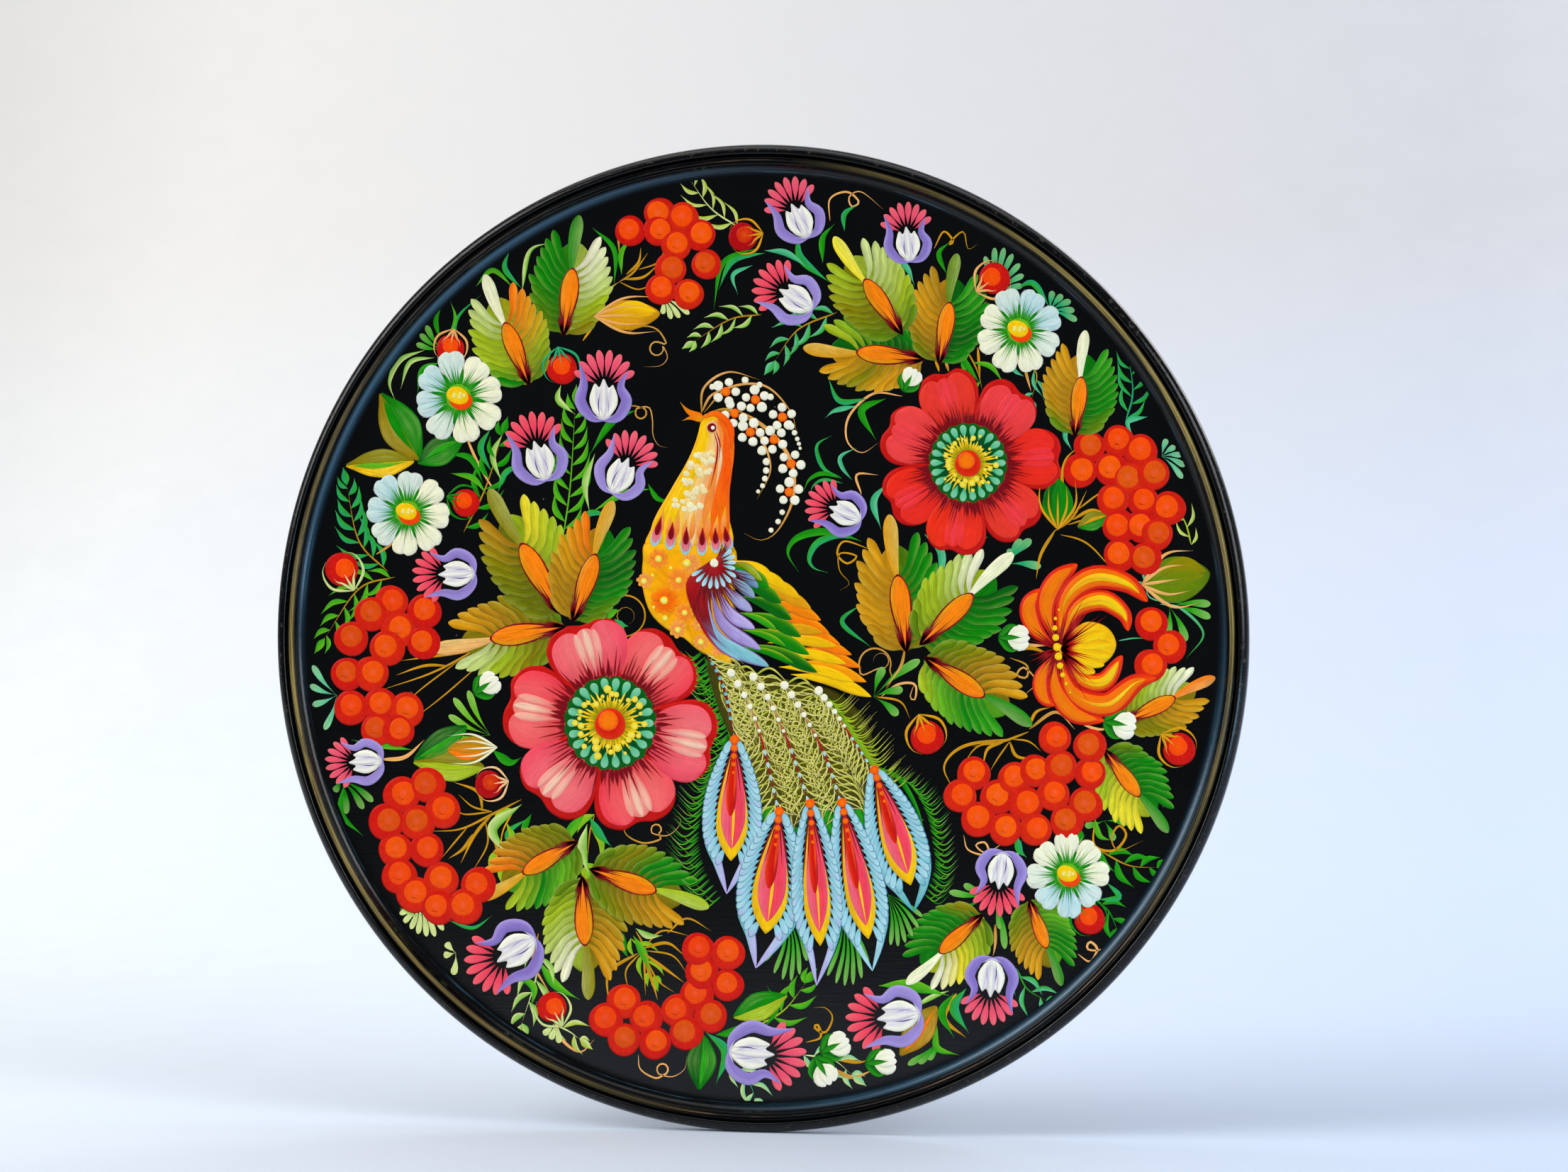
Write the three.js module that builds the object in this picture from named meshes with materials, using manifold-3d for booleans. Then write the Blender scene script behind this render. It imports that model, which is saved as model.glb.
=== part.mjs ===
// A round painted display tray, turned from eight edge-glued boards, with a hanger screwed to its back.
// Millimetres, +Z up. The tray stands on edge and faces -Y. The origin is the lowest point of its rim, and
// y = 0 is the plane of its widest circle, so the turning axis runs along Y at z = RIM_RADIUS.
import * as THREE from "three";
import { mergeVertices } from "three/addons/utils/BufferGeometryUtils.js";
import Module from "manifold-3d";

const wasm = await Module();
wasm.setup();

// Turned shape. A depth is a y value: smaller is nearer the viewer, larger is nearer the wall.
const RIM_RADIUS = 200;
const RIM_CROWN_DEPTH = -6;
const STEP_RADIUS = 194.5;
const BEAD_INNER_RADIUS = 192.3;
const BEAD_DEPTH = -4.4;
const BEAD_HEIGHT = 0.5;
const WELL_RADIUS = 187.6;
const WELL_DEPTH = -1;
const RECESS_DEPTH = 8;
const RECESS_RADIUS = 124;
const FOOT_DEPTH = 13;
const FOOT_INNER_RADIUS = 126;
const FOOT_OUTER_RADIUS = 138;
const UNDERSIDE_INNER_RADIUS = 141;
const UNDERSIDE_INNER_DEPTH = 9;
const TURN_STEPS = 96;
const ARC_STEPS = 4;

// Boards: seven glue lines make eight boards
const BOARD_WIDTH = 50;
const GLUE_LINES_EACH_SIDE = 3;
const MIDDLE_GLUE_LINE_X = 3;
const GLUE_GAP = 0.3;

// Hanger: a two-eared plate whose upper tongue is rolled round the straight side of a D-ring
const HINGE_Z = 296;
const SEAT_GAP = 0.25;
const SHEET_THICKNESS = 0.8;
const EAR_RADIUS = 5;
const EAR_DROP = 6;
const SCREW_X = 15;
const BARREL_LENGTH = 8;
const BARREL_RADIUS = 2.1;
const BARREL_BORE = 1.4;
const WIRE_RADIUS = 1;
const RING_HALF_WIDTH = 8;
const RING_LEG = 4;
const WIRE_SIDES = 16;
const HINGE_DEPTH = RECESS_DEPTH + SEAT_GAP + BARREL_RADIUS;

// Screws
const SCREW_HEAD_RADIUS = 3;
const SCREW_HEAD_HEIGHT = 1.4;
const SLOT_WIDTH = 0.7;
const SLOT_DEPTH = 0.6;
const SHANK_RADIUS = 1.2;
const SHANK_END_DEPTH = 2.2;
const POINT_LENGTH = 2;
const CLEARANCE = 0.3;
const SCREW_SIDES = 20;

const lacquer = () => new THREE.MeshStandardMaterial({ color: 0x0b0b0c, roughness: 0.22, metalness: 0 });
const brass = () => new THREE.MeshStandardMaterial({ color: 0xb38a3e, roughness: 0.35, metalness: 1 });
const steel = () => new THREE.MeshStandardMaterial({ color: 0x9a9a98, roughness: 0.4, metalness: 1 });

// A closed three.js geometry as a manifold-3d solid.
function solidOf(geometry) {
  const bare = geometry.clone();
  bare.deleteAttribute("normal");
  bare.deleteAttribute("uv");
  const merged = mergeVertices(bare, 1e-4);
  return new wasm.Manifold(
    new wasm.Mesh({
      numProp: 3,
      vertProperties: merged.attributes.position.array,
      triVerts: new Uint32Array(merged.index.array),
    }),
  );
}

// A manifold-3d solid as a three.js geometry.
function geometryOf(solid) {
  const mesh = solid.getMesh();
  const geometry = new THREE.BufferGeometry();
  geometry.setAttribute("position", new THREE.BufferAttribute(mesh.vertProperties, 3));
  geometry.setIndex(new THREE.BufferAttribute(mesh.triVerts, 1));
  geometry.computeVertexNormals();
  return geometry;
}

function named(name, solid, material) {
  const mesh = new THREE.Mesh(geometryOf(solid), material);
  mesh.name = name;
  return mesh;
}

// Points of an elliptical quarter, from its start angle through 90 degrees, without the start point.
function quarter(centreR, centreY, spanR, spanY, startAngle) {
  return Array.from({ length: ARC_STEPS }, (_, i) => {
    const angle = startAngle + ((i + 1) / ARC_STEPS) * (Math.PI / 2);
    return new THREE.Vector2(centreR + spanR * Math.sin(angle), centreY + spanY * Math.cos(angle));
  });
}

// The turned outline, as (radius, depth) points from the middle of the well round the rim to the back's middle.
function turnedOutline() {
  const beadMiddle = (BEAD_INNER_RADIUS + STEP_RADIUS) / 2;
  return [
    new THREE.Vector2(0, WELL_DEPTH),
    new THREE.Vector2(WELL_RADIUS, WELL_DEPTH),
    ...quarter(WELL_RADIUS, BEAD_DEPTH, BEAD_INNER_RADIUS - WELL_RADIUS, WELL_DEPTH - BEAD_DEPTH, 0),
    new THREE.Vector2(beadMiddle, BEAD_DEPTH - BEAD_HEIGHT),
    new THREE.Vector2(STEP_RADIUS - 0.2, BEAD_DEPTH),
    new THREE.Vector2(STEP_RADIUS, RIM_CROWN_DEPTH + 0.5),
    new THREE.Vector2(STEP_RADIUS + 1.8, RIM_CROWN_DEPTH),
    new THREE.Vector2(RIM_RADIUS - 1.6, RIM_CROWN_DEPTH + 1.1),
    new THREE.Vector2(RIM_RADIUS - 0.4, RIM_CROWN_DEPTH + 3.4),
    new THREE.Vector2(RIM_RADIUS, 0),
    new THREE.Vector2(RIM_RADIUS - 1.4, 3.2),
    new THREE.Vector2(RIM_RADIUS - 5, 5),
    new THREE.Vector2(UNDERSIDE_INNER_RADIUS, UNDERSIDE_INNER_DEPTH),
    new THREE.Vector2(FOOT_OUTER_RADIUS, FOOT_DEPTH),
    new THREE.Vector2(FOOT_INNER_RADIUS, FOOT_DEPTH),
    new THREE.Vector2(RECESS_RADIUS, RECESS_DEPTH),
    new THREE.Vector2(0, RECESS_DEPTH),
  ];
}

function turnedSolid() {
  return solidOf(new THREE.LatheGeometry(turnedOutline(), TURN_STEPS)).translate(0, 0, RIM_RADIUS);
}

// A screw's pilot hole at the height of the hanger's ears.
function pilotHole(radius, fromY, toY, x) {
  const geometry = new THREE.CylinderGeometry(radius, radius, toY - fromY, SCREW_SIDES);
  return solidOf(geometry).translate(x, (fromY + toY) / 2, HINGE_Z - EAR_DROP);
}

// The x places where the blank is divided: its left end, the glue lines and its right end.
function divisions() {
  const lines = [-RIM_RADIUS - 1];
  for (let i = -GLUE_LINES_EACH_SIDE; i <= GLUE_LINES_EACH_SIDE; i += 1) {
    lines.push(MIDDLE_GLUE_LINE_X + i * BOARD_WIDTH);
  }
  return [...lines, RIM_RADIUS + 1];
}

// Each board is the turned solid between two divisions, with a pilot hole where a screw enters it.
function boards() {
  const turned = turnedSolid();
  const lines = divisions();
  return lines.slice(1).map((right, index) => {
    const left = lines[index];
    const slab = solidOf(new THREE.BoxGeometry(right - left - GLUE_GAP, 4 * FOOT_DEPTH, 3 * RIM_RADIUS));
    let board = turned.intersect(slab.translate((left + right) / 2, 0, RIM_RADIUS));
    for (const x of [-SCREW_X, SCREW_X]) {
      if (x > left && x < right) {
        const pilot = pilotHole(SHANK_RADIUS + CLEARANCE, SHANK_END_DEPTH - CLEARANCE, RECESS_DEPTH + 1, x);
        board = board.subtract(pilot);
      }
    }
    return named(`board_${index + 1}`, board, lacquer());
  });
}

// The plate lies on the recess floor: two round ears with a screw hole each, and a tongue to the hinge axis.
function hangerPlate() {
  const outline = new THREE.Shape();
  outline.moveTo(-SCREW_X, -EAR_RADIUS);
  outline.lineTo(SCREW_X, -EAR_RADIUS);
  outline.absarc(SCREW_X, 0, EAR_RADIUS, -Math.PI / 2, Math.PI / 2, false);
  outline.lineTo(BARREL_LENGTH / 2, EAR_RADIUS);
  outline.lineTo(BARREL_LENGTH / 2, EAR_DROP);
  outline.lineTo(-BARREL_LENGTH / 2, EAR_DROP);
  outline.lineTo(-BARREL_LENGTH / 2, EAR_RADIUS);
  outline.lineTo(-SCREW_X, EAR_RADIUS);
  outline.absarc(-SCREW_X, 0, EAR_RADIUS, Math.PI / 2, 1.5 * Math.PI, false);
  for (const x of [-SCREW_X, SCREW_X]) {
    const hole = new THREE.Path();
    hole.absarc(x, 0, SHANK_RADIUS + CLEARANCE, 0, 2 * Math.PI, true);
    outline.holes.push(hole);
  }
  const extrusion = { depth: SHEET_THICKNESS, bevelEnabled: false, curveSegments: 10 };
  const sheet = new THREE.ExtrudeGeometry(outline, extrusion);
  const back = RECESS_DEPTH + SEAT_GAP + SHEET_THICKNESS;
  const flat = solidOf(sheet.rotateX(Math.PI / 2).translate(0, back, HINGE_Z - EAR_DROP));
  const roll = rodAlongX(BARREL_RADIUS, BARREL_LENGTH);
  const bore = rodAlongX(BARREL_BORE, BARREL_LENGTH + 2);
  return named("hanger_plate", flat.add(roll).subtract(bore), brass());
}

// A rod centred on the hinge axis.
function rodAlongX(radius, length) {
  const geometry = new THREE.CylinderGeometry(radius, radius, length, WIRE_SIDES);
  return solidOf(geometry.rotateZ(Math.PI / 2)).translate(0, HINGE_DEPTH, HINGE_Z);
}

// A wire D: a straight side on the hinge axis, two legs hanging from its ends, and a half circle between them.
function hangerRing() {
  const torus = solidOf(new THREE.TorusGeometry(RING_HALF_WIDTH, WIRE_RADIUS, WIRE_SIDES, 2 * WIRE_SIDES));
  const reach = 4 * RING_HALF_WIDTH;
  const lowerHalf = solidOf(new THREE.BoxGeometry(reach, reach, reach)).translate(0, 0, -reach / 2);
  const bend = torus.rotate(90, 0, 0).intersect(lowerHalf).translate(0, HINGE_DEPTH, HINGE_Z - RING_LEG);
  let ring = rodAlongX(WIRE_RADIUS, 2 * RING_HALF_WIDTH).add(bend);
  for (const x of [-RING_HALF_WIDTH, RING_HALF_WIDTH]) {
    const leg = new THREE.CylinderGeometry(WIRE_RADIUS, WIRE_RADIUS, RING_LEG, WIRE_SIDES);
    const corner = new THREE.SphereGeometry(WIRE_RADIUS, WIRE_SIDES, WIRE_SIDES / 2);
    ring = ring.add(solidOf(leg.rotateX(Math.PI / 2)).translate(x, HINGE_DEPTH, HINGE_Z - RING_LEG / 2));
    ring = ring.add(solidOf(corner).translate(x, HINGE_DEPTH, HINGE_Z));
  }
  return named("hanger_ring", ring, steel());
}

// A slotted pan-head wood screw along Y, its head on the hanger plate and its point in a board.
function screw(name, x) {
  const seat = RECESS_DEPTH + SHEET_THICKNESS + 2 * SEAT_GAP;
  const top = seat + SCREW_HEAD_HEIGHT;
  const outline = [
    new THREE.Vector2(0, SHANK_END_DEPTH),
    new THREE.Vector2(SHANK_RADIUS, SHANK_END_DEPTH + POINT_LENGTH),
    new THREE.Vector2(SHANK_RADIUS, seat),
    new THREE.Vector2(SCREW_HEAD_RADIUS, seat),
    new THREE.Vector2(SCREW_HEAD_RADIUS * 0.92, seat + SCREW_HEAD_HEIGHT * 0.5),
    new THREE.Vector2(SCREW_HEAD_RADIUS * 0.6, top),
    new THREE.Vector2(0, top),
  ];
  const turned = solidOf(new THREE.LatheGeometry(outline, SCREW_SIDES));
  const slot = solidOf(new THREE.BoxGeometry(3 * SCREW_HEAD_RADIUS, 2 * SLOT_DEPTH, SLOT_WIDTH));
  return named(name, turned.subtract(slot.translate(0, top, 0)).translate(x, 0, HINGE_Z - EAR_DROP), steel());
}

const tray = new THREE.Group();
tray.name = "painted_tray";
tray.add(...boards(), hangerPlate(), hangerRing());
tray.add(screw("hanger_screw_left", -SCREW_X), screw("hanger_screw_right", SCREW_X));

export default tray;
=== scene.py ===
"""A round, black-lacquered wooden tray with a hand-painted picture of flowers, leaves, berries and a bird.

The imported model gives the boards, the hanger plate, its ring and its screws. This script lays one lacquered
skin over the boards and paints the picture on it, brush stroke by brush stroke, as thin raised solids.
Picture places are in millimetres, x to the right and z up, laid out as the camera sees the tray.
"""
import math
import random
import bmesh
import bpy
import numpy as np
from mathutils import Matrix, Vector


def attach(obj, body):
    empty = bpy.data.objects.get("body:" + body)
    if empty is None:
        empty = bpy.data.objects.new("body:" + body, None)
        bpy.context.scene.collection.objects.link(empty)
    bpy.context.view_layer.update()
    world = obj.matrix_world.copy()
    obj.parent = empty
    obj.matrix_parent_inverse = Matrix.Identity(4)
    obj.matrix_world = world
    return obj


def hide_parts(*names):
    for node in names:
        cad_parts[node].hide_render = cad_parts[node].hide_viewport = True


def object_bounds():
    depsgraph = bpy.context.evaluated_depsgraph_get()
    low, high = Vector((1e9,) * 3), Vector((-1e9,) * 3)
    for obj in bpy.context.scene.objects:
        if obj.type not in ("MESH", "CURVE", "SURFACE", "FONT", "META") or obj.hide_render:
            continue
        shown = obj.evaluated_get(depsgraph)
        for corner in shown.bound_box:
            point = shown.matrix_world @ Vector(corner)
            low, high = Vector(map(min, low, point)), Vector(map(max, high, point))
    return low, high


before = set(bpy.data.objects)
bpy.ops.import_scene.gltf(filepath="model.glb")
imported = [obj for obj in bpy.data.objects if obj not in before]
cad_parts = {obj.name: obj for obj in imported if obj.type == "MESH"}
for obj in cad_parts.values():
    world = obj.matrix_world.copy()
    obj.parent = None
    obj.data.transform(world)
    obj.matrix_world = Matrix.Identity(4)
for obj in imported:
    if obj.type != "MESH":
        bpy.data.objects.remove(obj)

CAD_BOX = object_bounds()
LOW, HIGH = CAD_BOX
MM = 0.001
CENTRE_Z = (LOW[2] + HIGH[2]) / 2
RIM_RADIUS = (HIGH[2] - LOW[2]) / 2
WELL_Y = -1.0 * MM

# Paint, in millimetres: a layer's step, how far a stroke's middle stands above its edge, and how far a
# stroke's foot sinks into the lacquer.
PAINT_LAYER = 0.021
PAINT_DOME = 0.003
PAINT_SINK = 0.03
LEVEL_NUDGE = 0.12
LEVEL_NUDGES = 7
PAINT_RELIEF = 0.00006
PAINT_IOR = 1.2

# Strokes: the half width below which a stroke has no dome, the end shape below which an end is round, the
# most steps along a stroke, and the steps between two points of a curve.
NARROW_STROKE = 0.9
ROUND_END = 0.8
STROKE_STEPS = 26
FINE_STROKE_STEPS = 56
CURVE_STEPS = 12
BRISTLE_SEEDS = 50

CAMERA_DISTANCE = 1.5
CAMERA_YAW = 10.5
CAMERA_PITCH = 1.0


# Colour ---------------------------------------------------


def linear(hex_colour):
    """An sRGB colour as a linear one."""
    values = [int(hex_colour[i : i + 2], 16) / 255 for i in (0, 2, 4)]
    return np.array([v / 12.92 if v <= 0.04045 else ((v + 0.055) / 1.055) ** 2.4 for v in values])


BLACK = linear("0a0b0d")
WHITE = linear("f6f0dc")
CREAM = linear("f6efc6")
LEMON = linear("f3dd2a")
YELLOW = linear("fbc40b")
AMBER = linear("e09a10")
OCHRE = linear("b98413")
OLIVE = linear("8d8204")
ORANGE = linear("fb7a08")
BRIGHT_ORANGE = linear("fb820e")
PEACH = linear("f2ad62")
SKIN = linear("f8c58a")
VERMILION = linear("fb4a08")
RED = linear("d5180f")
CRIMSON = linear("b00d12")
WINE = linear("7c0a14")
ROSE = linear("f73c4c")
PINK = linear("f2536c")
CORAL = linear("f98a80")
LIME = linear("a8bd1c")
PALE_LIME = linear("d3de8c")
GRASS = linear("66b21c")
LEAF = linear("2d9d16")
GREEN = linear("10860a")
DARK_GREEN = linear("07640e")
BOTTLE = linear("063f24")
JADE = linear("27a566")
MINT = linear("63c08e")
SKY = linear("9ccfd8")
PALE_BLUE = linear("c7dfe0")
TEAL = linear("35a5a8")
PURPLE = linear("8a74bd")
LILAC = linear("b9a6dc")
GREY_LILAC = linear("cfc6d6")


def mix(a, b, t):
    """What lies a share t of the way from a to b: a colour, a number or a point."""
    return a + (b - a) * t


def ramp(colours, t):
    """The colour at t, from 0 to 1, along evenly spaced colours."""
    place = min(max(t, 0.0), 1.0) * (len(colours) - 1)
    index = min(int(place), len(colours) - 2)
    return mix(colours[index], colours[index + 1], place - index)


def along(*colours):
    """A stroke's tint that changes from its start to its end."""
    return lambda u, v: ramp(colours, u)


def across(*colours):
    """A stroke's tint that changes from its left edge to its right edge."""
    return lambda u, v: ramp(colours, (v + 1) / 2)


def outward(*colours):
    """A dot's or patch's tint that changes from its middle to its edge."""
    return lambda u, v: ramp(colours, u)


def bathed(base, *sides):
    """A stroke's tint that starts as one colour and goes over to a blend across it."""
    return lambda u, v: mix(base, ramp(sides, (v + 1) / 2), min(1.0, u * 1.6))


def tint_of(tint):
    """A tint as a function of the place in the stroke, also where it is one plain colour."""
    return tint if callable(tint) else lambda u, v: tint


# Paint solids ---------------------------------------------


class Paint:
    """The wet paint of the motif in hand, kept until finish_piece() makes a piece of it."""

    def __init__(self):
        self.level = 0
        self.clear()

    def clear(self):
        self.points = []
        self.faces = []
        self.tints = []
        self.bristle = []
        self.count = 0

    def add(self, points, faces, tints, bristle):
        self.points.append(np.asarray(points, float))
        self.faces.extend(tuple(i + self.count for i in face) for face in faces)
        self.tints.append(np.asarray(tints, float))
        self.bristle.append(np.asarray(bristle, float))
        self.count += len(points)

    def height(self, layer):
        """How far the paint of a layer stands proud of the lacquer."""
        return (self.level + layer) * PAINT_LAYER


paint = Paint()
rng = random.Random(11)


def curve_point(p0, p1, p2, p3, t):
    """A point of the smooth curve from p1 to p2, between the neighbours p0 and p3."""
    return 0.5 * (2 * p1 + (p2 - p0) * t + (2 * p0 - 5 * p1 + 4 * p2 - p3) * t * t
                  + (3 * p1 - p0 - 3 * p2 + p3) * t ** 3)


def smooth_path(points, count):
    """Points evenly along a smooth curve through the given ones."""
    given = np.asarray(points, float)
    if len(given) == 2:
        return mix(given[0], given[1], np.linspace(0, 1, count)[:, None])
    padded = np.vstack([2 * given[0] - given[1], given, 2 * given[-1] - given[-2]])
    fine = [curve_point(*padded[i : i + 4], t)
            for i in range(len(given) - 1) for t in np.linspace(0, 1, CURVE_STEPS, endpoint=False)]
    fine = np.array([*fine, given[-1]])
    reach = np.concatenate([[0], np.cumsum(np.linalg.norm(np.diff(fine, axis=0), axis=1))])
    wanted = np.linspace(0, reach[-1], count)
    return np.column_stack([np.interp(wanted, reach, fine[:, 0]), np.interp(wanted, reach, fine[:, 1])])


def closed_curve(points, count):
    """Points along a smooth closed curve through the given ones, clockwise as seen from the front."""
    given = np.asarray(points, float)
    area = np.sum(given[:, 0] * np.roll(given[:, 1], -1) - np.roll(given[:, 0], -1) * given[:, 1])
    if area > 0:
        given = given[::-1]
    total = len(given)
    steps = np.linspace(0, 1, max(2, count // total), endpoint=False)
    return np.array([curve_point(*(given[(i + k) % total] for k in (-1, 0, 1, 2)), t)
                     for i in range(total) for t in steps])


def width_at(u, peak, start, end):
    """A stroke's relative width: it swells from its start to its peak and closes at its end."""
    if u < peak:
        return math.sin(math.pi / 2 * u / peak) ** start
    return max(0.0, math.cos(math.pi / 2 * (u - peak) / (1 - peak))) ** end


def steps_along(count, round_start, round_end):
    """Shares of a stroke's length, closer together towards its round ends."""
    share = np.linspace(0, 1, count)
    if round_start and round_end:
        return 0.5 - 0.5 * np.cos(np.pi * share)
    if round_start:
        return 1 - np.cos(np.pi / 2 * share)
    if round_end:
        return np.sin(np.pi / 2 * share)
    return share


# A stroke's section, from its left edge to its right edge: the place across it, whether that point stands on
# the lacquer, and how much of the dome it has.
NARROW_SECTION = ((-1, True, 0), (-0.7, False, 0), (0.7, False, 0), (1, True, 0))
WIDE_SECTION = ((-1, True, 0), (-0.9, False, 0), (-0.45, False, 1), (0, False, 1.3), (0.45, False, 1),
                (0.9, False, 0), (1, True, 0))


def stroke(points, width, tint, layer=0, peak=0.5, start=1.0, end=1.0, detail=1.0):
    """One brush stroke along a curve. width is its greatest half width; start and end shape its two ends:
    0.5 is round, 1 is a blunt point and 2 is a long fine point."""
    length = float(np.linalg.norm(np.diff(np.asarray(points, float), axis=0), axis=1).sum())
    most = STROKE_STEPS if detail == 1 else FINE_STROKE_STEPS
    count = int(min(most, max(6, 5 + length / 1.6 * detail)))
    share = steps_along(count, start < ROUND_END, end < ROUND_END)
    fine = smooth_path(points, 4 * count)
    steps = np.linspace(0, 1, 4 * count)
    path = np.column_stack([np.interp(share, steps, fine[:, 0]), np.interp(share, steps, fine[:, 1])])
    ahead = np.gradient(path, axis=0)
    ahead /= np.maximum(np.linalg.norm(ahead, axis=1, keepdims=True), 1e-9)
    side = np.column_stack([ahead[:, 1], -ahead[:, 0]])
    section = NARROW_SECTION if width < NARROW_STROKE else WIDE_SECTION
    top = paint.height(layer)
    dome = PAINT_DOME * min(1.0, width / 3)
    colour = tint_of(tint)
    seed = rng.random() * BRISTLE_SEEDS
    vertices, tints, bristle = [], [], []
    for i, u in enumerate(share):
        half = width * max(width_at(u, peak, start, end), 0.03)
        for v, on_lacquer, swell in section:
            x, z = path[i] + side[i] * v * half
            vertices.append((x, -PAINT_SINK if on_lacquer else top + swell * dome, z))
            tints.append(colour(u, v))
            bristle.append((u * length, v * half, seed))
    wide = len(section)
    faces = []
    for i in range(count - 1):
        for j in range(wide):
            a, b = i * wide + j, i * wide + (j + 1) % wide
            faces.append((a, b, b + wide, a + wide))
    faces.append(tuple(range(wide - 1, -1, -1)))
    faces.append(tuple((count - 1) * wide + j for j in range(wide)))
    paint.add(vertices, faces, tints, bristle)


def patch(outline, tint, layer=0, rings=(0.93, 0.6, 0.3), centre=None, dome=1.0):
    """A filled shape, star-shaped about its middle. Its tint runs from 0 in the middle to 1 at the edge."""
    edge = np.asarray(outline, float)
    middle = edge.mean(axis=0) if centre is None else np.asarray(centre, float)
    top = paint.height(layer)
    colour = tint_of(tint)
    seed = rng.random() * BRISTLE_SEEDS
    count = len(edge)
    shares = (1.0, *rings)
    vertices, tints, bristle = [], [], []
    for k, share in enumerate(shares):
        height = -PAINT_SINK if k == 0 else top + dome * PAINT_DOME * (1 - share ** 2)
        for i, point in enumerate(edge):
            x, z = middle + (point - middle) * share
            vertices.append((x, height, z))
            tints.append(colour(share, i / count))
            bristle.append((np.linalg.norm(point - middle) * share, 8 * i / count, seed))
    vertices.append((middle[0], top + dome * PAINT_DOME, middle[1]))
    tints.append(colour(0.0, 0.0))
    bristle.append((0, 0, seed))
    faces = []
    for k in range(len(shares) - 1):
        for i in range(count):
            j = (i + 1) % count
            faces.append((k * count + i, (k + 1) * count + i, (k + 1) * count + j, k * count + j))
    last = (len(shares) - 1) * count
    faces.extend((last + i, last + count, last + (i + 1) % count) for i in range(count))
    faces.append(tuple(range(count)))
    paint.add(vertices, faces, tints, bristle)


def dot(x, z, radius, tint, layer=0, squash=1.0, turn=0.0, dome=1.0, sides=None):
    """A dab of paint, round or oval."""
    sides = sides or int(min(36, max(10, 8 + radius * 4)))
    wobble = 0.02 * radius
    phase = rng.random() * 6
    outline = []
    for i in range(sides):
        angle = -2 * math.pi * i / sides
        reach = radius + wobble * math.sin(3 * angle + phase)
        outline.append((reach * math.cos(angle), reach * squash * math.sin(angle)))
    rings = (0.9, 0.66, 0.4) if radius > 2 else (0.85, 0.45)
    patch([spun(p, turn, (x, z)) for p in outline], tint, layer, rings, (x, z), dome)


def spun(point, degrees, origin):
    """A local point turned by an angle and moved to an origin."""
    angle = math.radians(degrees)
    x, z = point
    return (
        origin[0] + x * math.cos(angle) - z * math.sin(angle),
        origin[1] + x * math.sin(angle) + z * math.cos(angle),
    )


def polar(origin, degrees, radius):
    """The point at a distance from an origin, in a direction."""
    angle = math.radians(degrees)
    return (origin[0] + radius * math.cos(angle), origin[1] + radius * math.sin(angle))


def on_board(x, z):
    """Where picture places lie on the tray. The picture is laid out as the camera sees it, from a little to
    the right, which makes the tray's near side look larger."""
    lean_right = math.sin(math.radians(CAMERA_YAW)) * MM / CAMERA_DISTANCE
    lean_up = math.sin(math.radians(CAMERA_PITCH)) * MM / CAMERA_DISTANCE
    reach = (RIM_RADIUS / MM) ** 2
    x = x + lean_right * reach
    z = z + lean_up * reach
    nearness = (1 + np.sqrt(1 + 4 * (lean_right * x + lean_up * z))) / 2
    return x / nearness, z / nearness


def new_object(name, data):
    """An object in the scene that shows the data."""
    item = bpy.data.objects.new(name, data)
    bpy.context.scene.collection.objects.link(item)
    return item


def finish_piece(name, material):
    """Turns the wet paint into a piece that rides on the tray."""
    points = np.vstack(paint.points)
    mesh = bpy.data.meshes.new(name)
    x, z = on_board(points[:, 0], points[:, 2])
    placed = np.column_stack([x * MM, WELL_Y - points[:, 1] * MM, CENTRE_Z + z * MM])
    mesh.from_pydata(placed.tolist(), [], paint.faces)
    tint = mesh.color_attributes.new("tint", "FLOAT_COLOR", "POINT")
    colours = np.column_stack([np.vstack(paint.tints), np.ones(len(points))])
    tint.data.foreach_set("color", colours.ravel())
    bristle = mesh.attributes.new("bristle", "FLOAT_VECTOR", "POINT")
    bristle.data.foreach_set("vector", np.vstack(paint.bristle).ravel())
    mesh.shade_smooth()
    mesh.materials.append(material)
    piece = new_object(name, mesh)
    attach(piece, "tray")
    paint.clear()


# Materials ------------------------------------------------


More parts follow.
